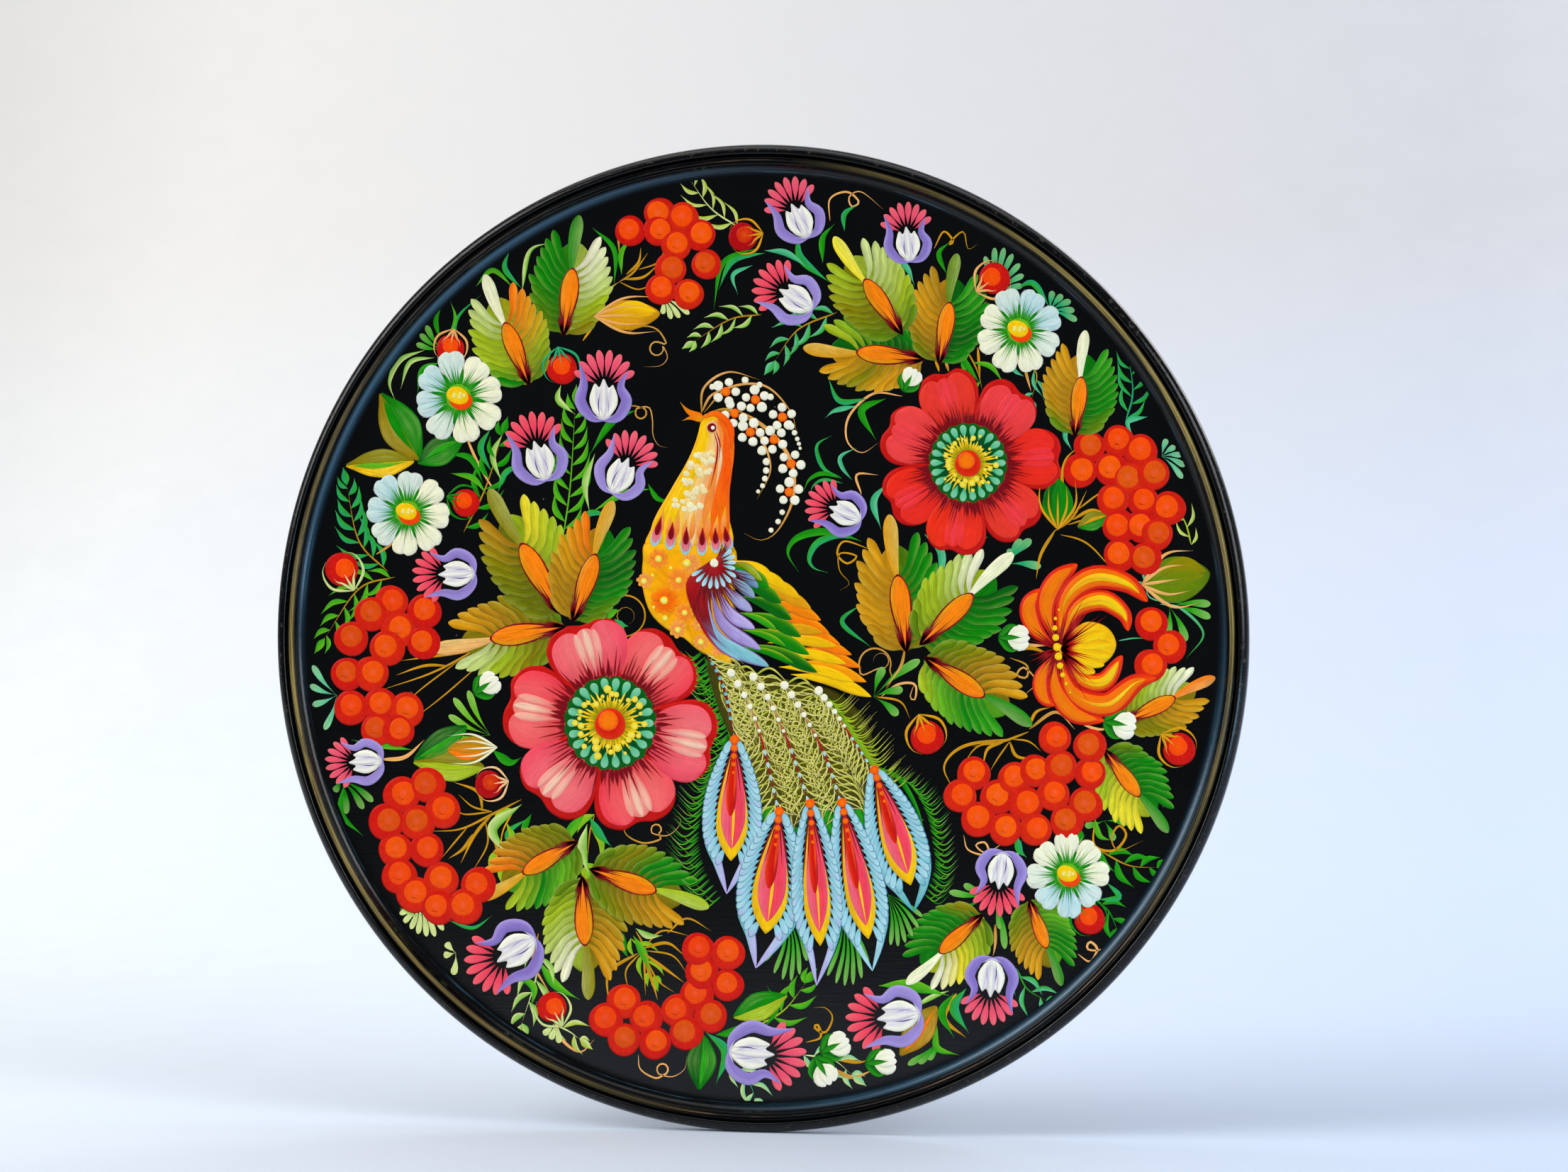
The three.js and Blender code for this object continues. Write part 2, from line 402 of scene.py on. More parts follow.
class Surface:
    """A new procedural material. Its methods add nodes and give back the outputs to use next."""

    def __init__(self, name):
        self.material = bpy.data.materials.new(name)
        self.material.use_nodes = True
        self.tree = self.material.node_tree
        self.shader = self.tree.nodes["Principled BSDF"]

    def add(self, kind, **settings):
        """A node, with its settings and its inputs' plain values by name."""
        node = self.tree.nodes.new(kind)
        for key, value in settings.items():
            if hasattr(node, key):
                setattr(node, key, value)
            else:
                node.inputs[key].default_value = value
        return node

    def feed(self, socket, value):
        """Gives an input another node's output, or a plain value."""
        if isinstance(value, bpy.types.NodeSocket):
            self.tree.links.new(value, socket)
        else:
            socket.default_value = value

    def shade(self, name, value):
        """Gives one of the shader's inputs an output or a plain value."""
        self.feed(self.shader.inputs[name], value)

    def attribute(self, name, output):
        """What a mesh keeps for each of its points under a name."""
        return self.add("ShaderNodeAttribute", attribute_name=name).outputs[output]

    def place(self):
        """The point's place in its piece's own frame, in metres."""
        return self.add("ShaderNodeTexCoord").outputs["Object"]

    def split(self, vector):
        """A vector's three parts."""
        node = self.add("ShaderNodeSeparateXYZ")
        self.feed(node.inputs["Vector"], vector)
        return node.outputs["X"], node.outputs["Y"], node.outputs["Z"]

    def joined(self, *parts):
        """A vector made of up to three parts."""
        node = self.add("ShaderNodeCombineXYZ")
        for socket, part in zip(node.inputs, parts):
            self.feed(socket, part)
        return node.outputs["Vector"]

    def vector(self, operation, vector, output, **settings):
        """A vector operation, and which of its outputs to use."""
        node = self.add("ShaderNodeVectorMath", operation=operation)
        self.feed(node.inputs[0], vector)
        for name, value in settings.items():
            self.feed(node.inputs[name], value)
        return node.outputs[output]

    def math(self, operation, first, second=None):
        node = self.add("ShaderNodeMath", operation=operation)
        self.feed(node.inputs[0], first)
        if second is not None:
            self.feed(node.inputs[1], second)
        return node.outputs["Value"]

    def product(self, first, *others):
        for other in others:
            first = self.math("MULTIPLY", first, other)
        return first

    def noise(self, vector, stretch, detail, roughness=0.55):
        """Noise read through a stretched vector."""
        mapping = self.add("ShaderNodeMapping", Scale=stretch)
        self.feed(mapping.inputs["Vector"], vector)
        noise = self.add("ShaderNodeTexNoise", Scale=1.0, Detail=detail, Roughness=roughness)
        self.feed(noise.inputs["Vector"], mapping.outputs["Vector"])
        return noise.outputs["Fac"]

    def remap(self, value, from_low, from_high, to_low, to_high):
        """The value taken from one range to another, and held within it."""
        limits = {"From Min": from_low, "From Max": from_high, "To Min": to_low, "To Max": to_high}
        node = self.add("ShaderNodeMapRange", **limits)
        self.feed(node.inputs["Value"], value)
        return node.outputs["Result"]

    def blend(self, share, first, second):
        """The first colour where the share is 0, the second where it is 1. Each is a colour or an output."""
        node = self.add("ShaderNodeMix", data_type="RGBA")
        sockets = [s for s in node.inputs if s.type == "RGBA"]
        for socket, colour in zip(sockets, (first, second)):
            self.feed(socket, colour if isinstance(colour, bpy.types.NodeSocket) else (*colour, 1))
        self.feed(node.inputs["Factor"], share)
        return [s for s in node.outputs if s.type == "RGBA"][0]

    def layered(self, base, layers):
        """A colour with others laid over it in turn, each one where its mask is 1."""
        for mask, colour in layers:
            base = self.blend(mask, base, linear(colour))
        return base

    def bump(self, height, strength, distance):
        """Fine relief on the surface. The distance is in metres."""
        node = self.add("ShaderNodeBump", Strength=strength, Distance=distance)
        self.feed(node.inputs["Height"], height)
        self.shade("Normal", node.outputs["Normal"])


def even(scale):
    """The same stretch three ways."""
    return (scale, scale, scale)


def tempera(name, streak=0.16, grain=0.35, gloss=0.3):
    """Opaque paint: the stroke's own tint, broken by bristle streaks along it, with a soft gloss."""
    look = Surface(name)
    streaks = look.noise(look.attribute("bristle", "Vector"), (0.16, 2.6, 1.0), 4.0)
    cloud = look.noise(look.place(), even(260.0), 2.0)
    strength = look.remap(streaks, 0.3, 0.7, 1 - streak, 1 + streak)
    soft = look.remap(cloud, 0.3, 0.7, 1 - streak * grain, 1 + streak * grain)
    uneven = look.math("MULTIPLY", strength, soft)
    look.shade("Base Color", look.vector("SCALE", look.attribute("tint", "Color"), "Vector", Scale=uneven))
    look.shade("Roughness", look.remap(streaks, 0.25, 0.75, gloss - 0.06, gloss + 0.08))
    look.shade("IOR", PAINT_IOR)
    look.bump(streaks, 0.6, PAINT_RELIEF)
    return look.material


def motif(material):
    """Marks a function whose strokes become one piece: its first argument is the piece's name. Each piece
    lies at a slightly different level, so that the strokes of two of them never lie in one plane."""

    def wrap(function):
        def run(name, *args, level=0, **kwargs):
            paint.level = level + LEVEL_NUDGE * (len(bpy.data.meshes) % LEVEL_NUDGES)
            function(*args, **kwargs)
            finish_piece(name, material)

        return run

    return wrap


PETAL_PAINT = tempera("petal_paint", streak=0.10, gloss=0.32)
LEAF_PAINT = tempera("leaf_paint", streak=0.2)
BERRY_PAINT = tempera("berry_paint", streak=0.06, grain=0.9, gloss=0.26)
LINE_PAINT = tempera("line_paint", streak=0.14, gloss=0.36)
FEATHER_PAINT = tempera("feather_paint")


# Small parts of motifs ------------------------------------


def heading(start, end):
    """The direction from one point to another, in degrees."""
    return math.degrees(math.atan2(end[1] - start[1], end[0] - start[0]))


def frame_of(base, tip, width):
    """A function that places (share of the length, share of the width) on the line from base to tip."""
    length = math.dist(base, tip)
    turn = heading(base, tip)
    return lambda a, b: spun((a * length, b * width), turn, base)


def leaf(points, width, tint, layer):
    """A plain leaf: a stroke pointed at both ends."""
    stroke(points, width, tint, layer, 0.4, 1.1, 1.5)


def drop(base, tip, width, tint, layer=0.0, bend=0.0, peak=0.72):
    """A drop stroke: a fine point at its base and a round tip."""
    at = frame_of(base, tip, math.dist(base, tip))
    stroke([base, at(0.5, bend), tip], width, tint, layer, peak, 1.25, 0.5)


def line(points, width, tint, layer=0):
    """A thin line that fades to a fine point at both ends."""
    stroke(points, width, tint, layer, 0.35, 0.6, 1.1, detail=1.5)


def hairs(origin, degrees, spread, count, near, far, width, tint, layer, uneven):
    """Fine strokes fanning out from a ring round an origin."""
    for i in range(count):
        angle = degrees - spread / 2 + spread * (i + 0.5) / count
        reach = far * (1 - uneven * rng.random())
        start, end = polar(origin, angle, near), polar(origin, angle + rng.uniform(-1.2, 1.2), reach)
        stroke([start, end], width, tint, layer, 0.25, 0.8, 1.4)


def comb(origin, first, last, count, near, far, width, tint, wave):
    """A fan of drop strokes with their round ends outward, longest by the wave in its middle."""
    for i in range(count):
        share = i / (count - 1)
        angle = first + (last - first) * share
        reach = far + wave * math.sin(math.pi * share)
        drop(polar(origin, angle, near), polar(origin, angle, reach), width, tint)


def barbs(path, side, count, reach, width, tint, layer, lean, sweep):
    """Fine strokes along one side of a path, swept towards its end. side is 1 for left and -1 for right."""
    points = smooth_path(path, count + 1)
    for i in range(count):
        ahead = heading(points[i], points[i + 1])
        size = reach * rng.uniform(0.85, 1.1)
        knee = polar(points[i], ahead + side * lean, size * 0.5)
        end = polar(points[i], ahead + side * (lean + sweep) / 2, size)
        stroke([points[i], knee, end], width, tint, layer, 0.3, 0.8, 1.5)


# Motifs ---------------------------------------------------


@motif(BERRY_PAINT)
def berries(places, radius, dab, glow=VERMILION):
    """Round fruit: a red disc, and on it an orange dab from a fingertip, off to one side."""
    for i, (x, z) in enumerate(places):
        size = radius * rng.uniform(0.96, 1.04)
        lean = polar((0, 0), rng.uniform(30, 150), size * 0.16)
        red = mix(RED, VERMILION, 0.25 * rng.random())
        dot(x - lean[0], z - lean[1], size, outward(red, red, mix(red, CRIMSON, 0.35)), 0.4 * i)
        bright = mix(glow, ORANGE, 0.3 * rng.random())
        if rng.random() < 0.2:
            bright = mix(bright, mix(RED, OCHRE, 0.3), 0.55)
        pale = mix(bright, CORAL, 0.12)
        dot(x, z, size * dab, outward(pale, bright, bright, mix(bright, RED, 0.12)), 0.4 * i + 0.2)
        shine = [polar((x, z), turn, size * dab * 0.5) for turn in (215, 250, 285)]
        stroke(shine, size * 0.07, mix(bright, CORAL, 0.5), 0.4 * i + 0.3, 0.5, 1.4, 1.4)


@motif(BERRY_PAINT)
def cupped_berry(x, z, radius, degrees, cup, rim, glow):
    """One fruit held in pale sepals that come from one side of it."""
    dot(x, z, radius, outward(rim, rim, mix(rim, CRIMSON, 0.5)), 0)
    lit = polar((x, z), 0.5 * (degrees + 90), radius * 0.2)
    dot(*lit, radius * 0.62, outward(mix(glow, ORANGE, 0.3), glow, glow), 0.5)
    stem = polar((x, z), degrees, radius * 1.45)
    for share in (-1, -0.5, 0, 0.5, 1):
        close = 0.35 + 0.65 * abs(share)
        curve = [stem] + [polar((x, z), degrees + turn * share, radius * close * reach)
                          for turn, reach in ((48, 1.27), (80, 1.2), (112, 1.13), (142, 1.02))]
        stroke(curve, radius * 0.09, cup, 1.2, 0.35, 0.8, 1.5)


@motif(PETAL_PAINT)
def tulip(x, z, degrees, size, side, comb_tint):
    """A tulip seen from the side: purple outer petals, a white cup and a comb of pink drops above it."""

    def at(a, b):
        return spun((a * size, b * size), degrees - 90, (x, z))

    pale = mix(side, LILAC, 0.6)
    middle = at(0.5, 13.5)
    turn = degrees - 90
    comb(middle, 152 + turn, 28 + turn, 8, 4.5 * size, 14.0 * size, 1.6 * size,
         along(mix(comb_tint, WINE, 0.35), comb_tint, mix(comb_tint, CORAL, 0.3)), 1.5 * size)
    left = [at(0.5, 0), at(-5, 1.5), at(-9.4, 8), at(-8.0, 15.5), at(-9.6, 23.5)]
    right = [at(-0.5, 0), at(6, 1.5), at(9.6, 8), at(7.2, 14), at(10.4, 20.5)]
    stroke(left, 2.4 * size, across(pale, side, mix(side, BLACK, 0.12)), 1, 0.42, 0.8, 0.9)
    stroke(right, 2.4 * size, across(mix(side, BLACK, 0.12), side, pale), 1, 0.42, 0.8, 0.9)
    cup = closed_curve([at(0, 0.6), at(-4.4, 4), at(-5.3, 10), at(-3.6, 15.2), at(-1.6, 13.8),
                        at(0.2, 17.2), at(2.2, 13.6), at(4.2, 14.6), at(5.3, 9.5), at(4.2, 3.6)], 60)
    patch(cup, outward(GREY_LILAC, mix(GREY_LILAC, WHITE, 0.5), mix(GREY_LILAC, WHITE, 0.8)), 2,
          centre=at(0.5, 7))
    stroke([at(0.8, 1), at(-3.6, 7), at(-3.3, 14.6)], 1.9 * size, across(WHITE, WHITE, GREY_LILAC), 3, 0.55,
           0.8, 0.6)
    stroke([at(0.8, 1), at(4.0, 7), at(4.0, 14.0)], 1.9 * size, across(GREY_LILAC, WHITE, WHITE), 3, 0.55,
           0.8, 0.6)
    stroke([at(0.2, 1), at(0.2, 8), at(0.3, 16.6)], 1.7 * size, across(GREY_LILAC, WHITE, GREY_LILAC), 3.6,
           0.62, 0.8, 0.7)
    stroke([at(-1.4, 2), at(-1.9, 6.5), at(-1.4, 11)], 0.35 * size, mix(PURPLE, BLACK, 0.5), 4.4, 0.5, 1.5,
           1.5)
    stroke([at(2.2, 2.4), at(2.2, 6.5), at(1.8, 10)], 0.3 * size, mix(PURPLE, GREY_LILAC, 0.5), 4.4, 0.5,
           1.5, 1.5)
    stroke([at(-4.5, 2.5), at(0, 0.6), at(4.8, 2.6)], 0.5 * size, GREY_LILAC, 4.8, 0.5, 1.5, 1.5)


DAISY_PETAL = ((0.16, -0.03), (0.44, -0.17), (0.68, -0.28), (0.84, -0.28), (0.93, -0.21), (0.96, -0.09),
               (0.94, 0.0),
               (0.98, 0.08), (0.94, 0.2), (0.83, 0.29), (0.68, 0.28), (0.44, 0.17), (0.16, 0.03))


def daisy_petal(middle, radius, angle, cool, layer):
    """A notched white petal, bluer the nearer its angle comes to the cool side."""
    blueness = max(0.0, math.cos(math.radians(angle - cool))) ** 0.6
    face = mix(mix(WHITE, mix(CREAM, PALE_LIME, 0.2), 0.85), SKY, 0.9 * blueness)
    pale = mix(face, WHITE, 0.45)
    green_tinge = mix(face, PALE_LIME, 0.5)
    size = radius * rng.uniform(0.95, 1.04)

    def at(a, b):
        return spun((a * size, b * radius), angle, middle)

    outline = closed_curve([at(a, b) for a, b in DAISY_PETAL], 44)
    patch(outline, outward(face, face, pale), layer, centre=at(0.68, 0))
    stroke([at(0.2, 0.14), at(0.6, 0.26), at(0.9, 0.27)], 0.03 * radius,
           along(green_tinge, mix(face, GREY_LILAC, 0.5)), layer + 0.6, 0.4, 1.4, 1.4)
    for shift in (-0.13, 0.13):
        stroke([at(0.35, shift * 0.3), at(0.93, shift)], 0.1 * radius, along(face, pale), 1, 0.75, 1.4, 0.6)


def daisy_middle(x, z, radius):
    """A green ring, a red shadow and a yellow button with five pale dots."""
    dot(x, z, radius * 0.3, GRASS, 3.2, dome=0.5)
    dot(x + 0.04 * radius, z - 0.06 * radius, radius * 0.29, outward(VERMILION, mix(VERMILION, RED, 0.2)),
        3.8, 0.8, -20)
    dot(x - 0.02 * radius, z + 0.03 * radius, radius * 0.27, outward(LEMON, YELLOW, YELLOW), 4.4, 0.74, -20,
        dome=2.0)
    for i in range(5):
        place = polar((x, z), 70 * i, radius * 0.12)
        dot(place[0], place[1] * 0.3 + z * 0.7 + 0.03 * radius, radius * 0.045, mix(LEMON, WHITE, 0.3), 5.4,
            dome=2.0)


@motif(PETAL_PAINT)
def daisy(x, z, radius, cool, tilt):
    """A daisy: white petals that turn blue towards one side, green rays and a yellow middle."""
    petals = 8
    angles = [tilt + 360 / petals * i for i in range(petals)]
    for i, angle in enumerate(angles):
        daisy_petal((x, z), radius, angle, cool, 0.5 * (i % 2))
    for angle in angles:
        hairs((x, z), angle, 250 / petals, 7, radius * 0.14, radius * 0.82, 0.02 * radius,
              along(LEAF, GREEN), 2.7, 0.4)
        hairs((x, z), angle, 330 / petals, 4, radius * 0.14, radius * 0.44, 0.04 * radius,
              along(LIME, GRASS), 2.5, 0.3)
        sepal = angle + 180 / petals
        stroke([polar((x, z), sepal, radius * 0.2), polar((x, z), sepal + 2, radius * 0.68)],
               0.048 * radius, along(LEAF, GREEN, DARK_GREEN), 3, 0.4, 1.0, 1.6)
    daisy_middle(x, z, radius)


GREAT_PETAL = ((0.3, -0.42), (0.52, -0.8), (0.74, -1.0), (0.9, -0.88), (0.99, -0.5), (0.965, -0.08),
               (1.0, 0.34), (0.95, 0.76), (0.79, 1.0), (0.55, 0.84), (0.3, 0.42))


def great_petal(middle, radius, spread, angle, layer, lean, under, face, light, glow):
    """One broad lobed petal over a darker edge, with three lighter strokes along its middle."""
    size = radius * rng.uniform(0.97, 1.02)

    def at(a, b):
        return spun((a * size, b * spread), angle, middle)

    edge = mix(under, RED, 0.3 + 0.4 * rng.random())
    outline = closed_curve([at(a, b) for a, b in GREAT_PETAL], 88)
    patch(outline, outward(under, under, edge), layer, centre=at(0.66, 0), dome=0.4)
    for k, shift in enumerate((-0.46, 0.46)):
        lobe = mix(face, light, 0.06 * k)
        curve = [at(0.34, 0.3 * shift), at(0.64, 0.96 * shift + lean),
                 at(0.95 - 0.02 * k, 0.92 * shift + lean)]
        tint = bathed(mix(under, lobe, 0.35), lobe, mix(lobe, light, 0.1), lobe)
        stroke(curve, 0.5 * spread, tint, layer + 1 + 0.5 * k, 0.7, 0.7, 0.5)
    lit = mix(face, light, glow)
    tint = bathed(mix(under, face, 0.6), mix(lit, face, 0.4), lit, mix(lit, face, 0.3))
    stroke([at(0.44, 0), at(0.66, lean), at(0.925, lean)], 0.34 * spread, tint, layer + 2, 0.72, 0.9, 0.5)
    for k, share in enumerate((0.25, 0.75, 0.45)):
        b = 0.22 * (k - 1) + lean
        brightest = mix(lit, light, share)
        tint = bathed(mix(face, under, 0.25), mix(lit, face, 0.3), brightest, mix(brightest, face, 0.3))
        curve = [at(0.42, 0.5 * b), at(0.66, 0.9 * b), at(0.915 - 0.02 * abs(k - 1), 1.05 * b)]
        stroke(curve, 0.115 * spread, tint, layer + 2.5 + 0.1 * k, 0.78, 1.3, 0.55)


def ringed_middle(middle, ring):
    """A flower's middle: a scalloped green ring with pale drops, a crown of yellow beads and a red button."""
    x, z = middle
    scallops, steps = 20, 120
    edge = []
    for i in range(steps):
        angle = -360 * i / steps
        edge.append(polar(middle, angle,
                          ring * (0.99 + 0.06 * abs(math.sin(math.radians(angle * scallops / 2))))))
    patch(edge, outward(BOTTLE, BOTTLE, DARK_GREEN), 8.2, centre=middle, dome=0.4)
    drops = 22
    for i in range(drops):
        angle = 360 / drops * i
        drop(polar(middle, angle, ring * 0.6), polar(middle, angle, ring * rng.uniform(0.9, 0.96)),
             ring * 0.092, along(JADE, MINT, mix(MINT, WHITE, 0.15)), 8.6)
    dot(x, z, ring * 0.5, outward(OLIVE, OLIVE, mix(OLIVE, LIME, 0.5)), 9.4, dome=0.4)
    rays, beads = 44, 34
    for i in range(rays):
        angle = 360 / rays * i + rng.uniform(-3, 3)
        end = polar(middle, angle, ring * rng.uniform(0.52, 0.78))
        stroke([polar(middle, angle, ring * 0.28), end], 0.034 * ring, along(OLIVE, YELLOW, LEMON), 9.8,
               0.5, 0.7, 0.8)
    for i in range(beads):
        angle = 360 / beads * i + rng.uniform(-5, 5)
        place = polar(middle, angle, ring * rng.uniform(0.44, 0.74))
        dot(*place, rng.uniform(0.04, 0.1) * ring, outward(mix(LEMON, CREAM, 0.35), LEMON, YELLOW), 10.4,
            dome=2.0)
    dot(x, z - 0.02 * ring, ring * 0.36, outward(RED, RED, mix(RED, VERMILION, 0.5)), 11, dome=2.0)
    dot(x - 0.04 * ring, z + 0.05 * ring, ring * 0.235, outward(ORANGE, ORANGE, VERMILION), 12, dome=2.0)


@motif(PETAL_PAINT)
def great_flower(x, z, radius, ring, faces, light, glow, petals, tilt):
    """A large flower: broad petals, fine dark hairs, and a middle of the ring's radius. glow is how far
    each petal's middle goes over to the light colour."""
    spread = 0.68 * radius * math.tan(math.pi / petals)
    under = mix(CRIMSON, RED, 0.4)
    angles = [tilt + 360 / petals * i for i in range(petals)]
    for i, angle in enumerate(angles):
        layer = 3.0 * (i % 2) + 1.5 * (i == petals - 1)
        lean = 0.06 * (-1) ** i
        great_petal((x, z), radius, spread, angle, layer, lean, under, faces[i % len(faces)], light, glow)
    for angle in angles:
        hairs((x, z), angle, 344 / petals, 15, ring * 0.95, radius * 0.74, 0.011 * radius,
              along(WINE, mix(WINE, CRIMSON, 0.6)), 7.2, 0.34)
        hairs((x, z), angle, 350 / petals, 11, ring * 0.95, radius * 0.6, 0.024 * radius, WINE, 7.6, 0.3)
    ringed_middle((x, z), ring)


@motif(PETAL_PAINT)
def chrysanthemum(x, z, curls, ball, beads):
    """Curled petals of red, orange and some yellow, round a yellow ball, with a row of beads down one side.
    Each curl is its curve's points, its half width and how much yellow its inner side has."""
    deep = mix(VERMILION, ORANGE, 0.45)
    for i, (points, width, yellow) in enumerate(curls):
        core = smooth_path(points, 14)[1:13]
        stroke(points, width, across(RED, VERMILION, RED), 1.6 * (i % 3), 0.6, 1.0, 0.55)
        stroke(core, width * 0.78, across(deep, mix(deep, AMBER, 0.4), deep), 5 + 0.3 * i, 0.6, 1.2, 0.6)
        if yellow:
            stroke(core[2:], width * 0.42 * yellow, along(AMBER, YELLOW, YELLOW), 8, 0.6, 1.2, 0.8)
            stroke(core[3:-1], width * 0.18, along(ORANGE, LEMON), 8.4, 0.6, 1.4, 1.0)
    patch(closed_curve(ball, 54), outward(YELLOW, YELLOW, mix(YELLOW, AMBER, 0.5)), 8.8,
          rings=(0.95, 0.8, 0.5, 0.25))
    for turn in (-32, -19, -7, 6, 19, 31):
        end = polar((x, z), turn, 23.2 - 0.16 * abs(turn))
        stroke([(x, z), polar((x, z), 1.1 * turn, 13), end], 2.6,
               across(AMBER, YELLOW, mix(YELLOW, LEMON, 0.5)),
               9.4, 0.66, 1.0, 0.55)
    hairs((x, z), 0, 70, 16, 1, 17, 0.45, along(CRIMSON, mix(CRIMSON, RED, 0.5)), 10, 0.5)
    for turn in (48, -48):
        hairs((x, z), turn, 34, 10, 2, 25, 0.45, along(WINE, CRIMSON, RED), 10, 0.45)
    for turn in (85, -85, 110, 150, 205, 245):
        hairs((x, z), turn, 30, 5, 1, 15, 0.42, along(CRIMSON, WINE), 10, 0.4)
    path = smooth_path(beads, 10)
    for i, place in enumerate(path):
        dot(*place, 0.5 + 1.4 * math.sin(math.pi * (i + 0.6) / 10) ** 2, outward(LEMON, YELLOW, YELLOW), 11,
            dome=3.0)


@motif(LEAF_PAINT)
def comb_leaf(base, tip, width, left, right, crest):
    """A leaf of two rows of overlapping strokes, a round-ended crest stroke and an orange heart. left and
    right are each half's colours, from the base to the tip."""
    count = 10
    length = math.dist(base, tip)
    at = frame_of(base, tip, width)
    breadth = 0.345 * length / (count - 1)
    for side, colours in ((1, left), (-1, right)):
        floor = mix(ramp(colours, 0.4), BLACK, 0.3)
        half = [at(0.02, 0), at(0.1, 0.4 * side), at(0.3, 0.62 * side), at(0.55, 0.56 * side),
                at(0.72, 0.34 * side), at(0.76, 0.0), at(0.4, -0.03 * side)]
        patch(closed_curve(half, 28), outward(floor, floor), 0, dome=0.2)
        for i in range(count):
            share = 1 - i / (count - 1)
            out = math.sin(math.pi * (0.22 + 0.62 * share)) ** 0.75 * rng.uniform(0.95, 1.06)
            tone = ramp(colours, share)
            pale = mix(tone, mix(LIME, PALE_LIME, 0.5), 0.24)
            dark = mix(tone, BLACK, 0.38)
            tones = (dark, tone, pale) if side < 0 else (pale, tone, dark)
            stroke([at(0.03 + 0.5 * share, 0.01 * side), at(0.06 + 0.57 * share, 0.56 * out * side),
                    at(0.15 + 0.7 * share, 1.05 * out * side)], breadth, bathed(dark, *tones),
                    0.6 + 2 * (1 - share),
                   0.8, 0.75, 0.6)
    stroke([at(0.45, 0), at(0.72, 0.06), at(1, 0.03)], 0.056 * length,
           bathed(crest, crest, mix(crest, PALE_LIME, 0.3)),
           2.8, 0.78, 1.1, 0.5)
    spike(base, at(0.55, 0), 0.076 * length, 3.2)


def spike(base, tip, width, layer):
    """The orange heart of a leaf, dark at its root, with dark hairs fanning from it."""
    length = math.dist(base, tip)
    turn = heading(base, tip)
    at = frame_of(base, tip, width)
    stroke([at(0.02, 0), at(1.03, 0)], width * 1.14, WINE, layer, 0.64, 1.0, 0.55)
    stroke([at(0.06, 0), at(1, 0)], width, across(AMBER, ORANGE, ORANGE), layer + 0.5, 0.68, 1.1, 0.5)
    stroke([at(0.12, -0.12), at(0.95, -0.12)], width * 0.78, BRIGHT_ORANGE, layer + 1, 0.68, 1.1, 0.55)
    for i in range(12):
        side = 1 if i % 2 else -1
        angle = turn + side * (5 + 4.5 * (i // 2))
        reach = length * (0.66 - 0.07 * (i // 2)) * rng.uniform(0.75, 1.05)
        stroke([polar(base, angle, -0.2), polar(base, angle + 2 * side, 0.5 * reach),
                polar(base, angle, reach)],
               width * 0.12, along(WINE, WINE, mix(WINE, BLACK, 0.5)), layer + 1.8, 0.25, 0.8, 1.7)


@motif(LEAF_PAINT)
def plain_leaf(base, tip, width, left, right, heart):
    """A smooth pointed leaf in two colours, each half with finer strokes along it, and a middle stroke."""
    at = frame_of(base, tip, width)
    for side, tone in ((1, left), (-1, right)):
        half = [at(0, 0), at(0.2, 0.62 * side), at(0.45, 0.98 * side), at(0.7, 0.8 * side),
                at(0.9, 0.36 * side), at(1.02, 0.0), at(0.7, -0.05 * side), at(0.3, -0.05 * side)]
        patch(closed_curve(half, 44), outward(tone, tone, mix(tone, BLACK, 0.2)), 0.5 * side + 0.5,
              dome=0.4)
        for k in range(4):
            out = (0.2 + 0.2 * k) * side
            pale = mix(tone, PALE_LIME, 0.05 + 0.07 * (k % 2))
            stroke([at(0.06, 0.1 * out), at(0.45, out), at(0.88, 0.45 * out)], width * 0.13,
                   along(tone, pale, tone), 1.6, 0.5, 1.3, 1.3)
    stroke([at(0.1, 0), at(0.5, 0.16), at(0.92, 0.04)], width * 0.22, heart, 2.2, 0.6, 1.4, 1.0)


@motif(LEAF_PAINT)
def leaves(items, tints):
    """Separate plain leaves: each item is its curve's points and its half width."""
    for i, (points, width) in enumerate(items):
        stroke(points, 0.86 * width, across(*tints[i % len(tints)]), 0.5 * (i % 3), 0.45, 1.2, 1.7,
               detail=1.5)


@motif(LEAF_PAINT)
def sprig(stem, pairs, reach, width, tints, stem_tint):
    """A stem with pairs of small leaves, shorter towards its tip."""
    path = smooth_path(stem, 60)
    first, last = 0.1, 0.94
    stroke(stem, 0.42, stem_tint, 0, 0.2, 0.8, 1.4, detail=1.4)
    for i in range(pairs):
        for side in (1, -1):
            share = first + (last - first) * (i + 0.22 * side) / max(pairs - 1, 1)
            index = min(58, max(0, int(share * 59)))
            ahead = heading(path[index], path[index + 1])
            size = 1.38 * reach * (1.02 - 0.42 * abs(2 * share - 0.7)) * rng.uniform(0.92, 1.08)
            angle = ahead + side * 38
            bulge = polar(path[index], angle + side * 11, size * 0.5)
            end = polar(path[index], angle - side * 9, size)
            leaf([path[index], bulge, end], 0.72 * width * rng.uniform(0.85, 1.1),
                 across(tints[0], tints[-1]),
                 0.6 + 0.3 * side)
    end = polar(path[-1], heading(path[-3], path[-1]), reach * 0.75)
    leaf([path[-1], end], width, across(tints[0], tints[-1]), 1)


@motif(LEAF_PAINT)
def drop_fan(base, tips, width, tint):
    """Drops that fan out from one point, on fine stalks."""
    for place in tips:
        at = frame_of(base, place, math.dist(base, place))
        stroke([base, at(0.5, 0.05), place], width,
               along(mix(tint, BLACK, 0.3), tint, mix(tint, PALE_LIME, 0.3)),
               0.4, 0.84, 2.4, 0.5)


@motif(LINE_PAINT)
def tendrils(items, tints):
    """Thin curling lines: each item is its curve's points and its half width."""
    for i, (points, width) in enumerate(items):
        line(points, width, along(*tints[i % len(tints)]), 0.4 * (i % 4))


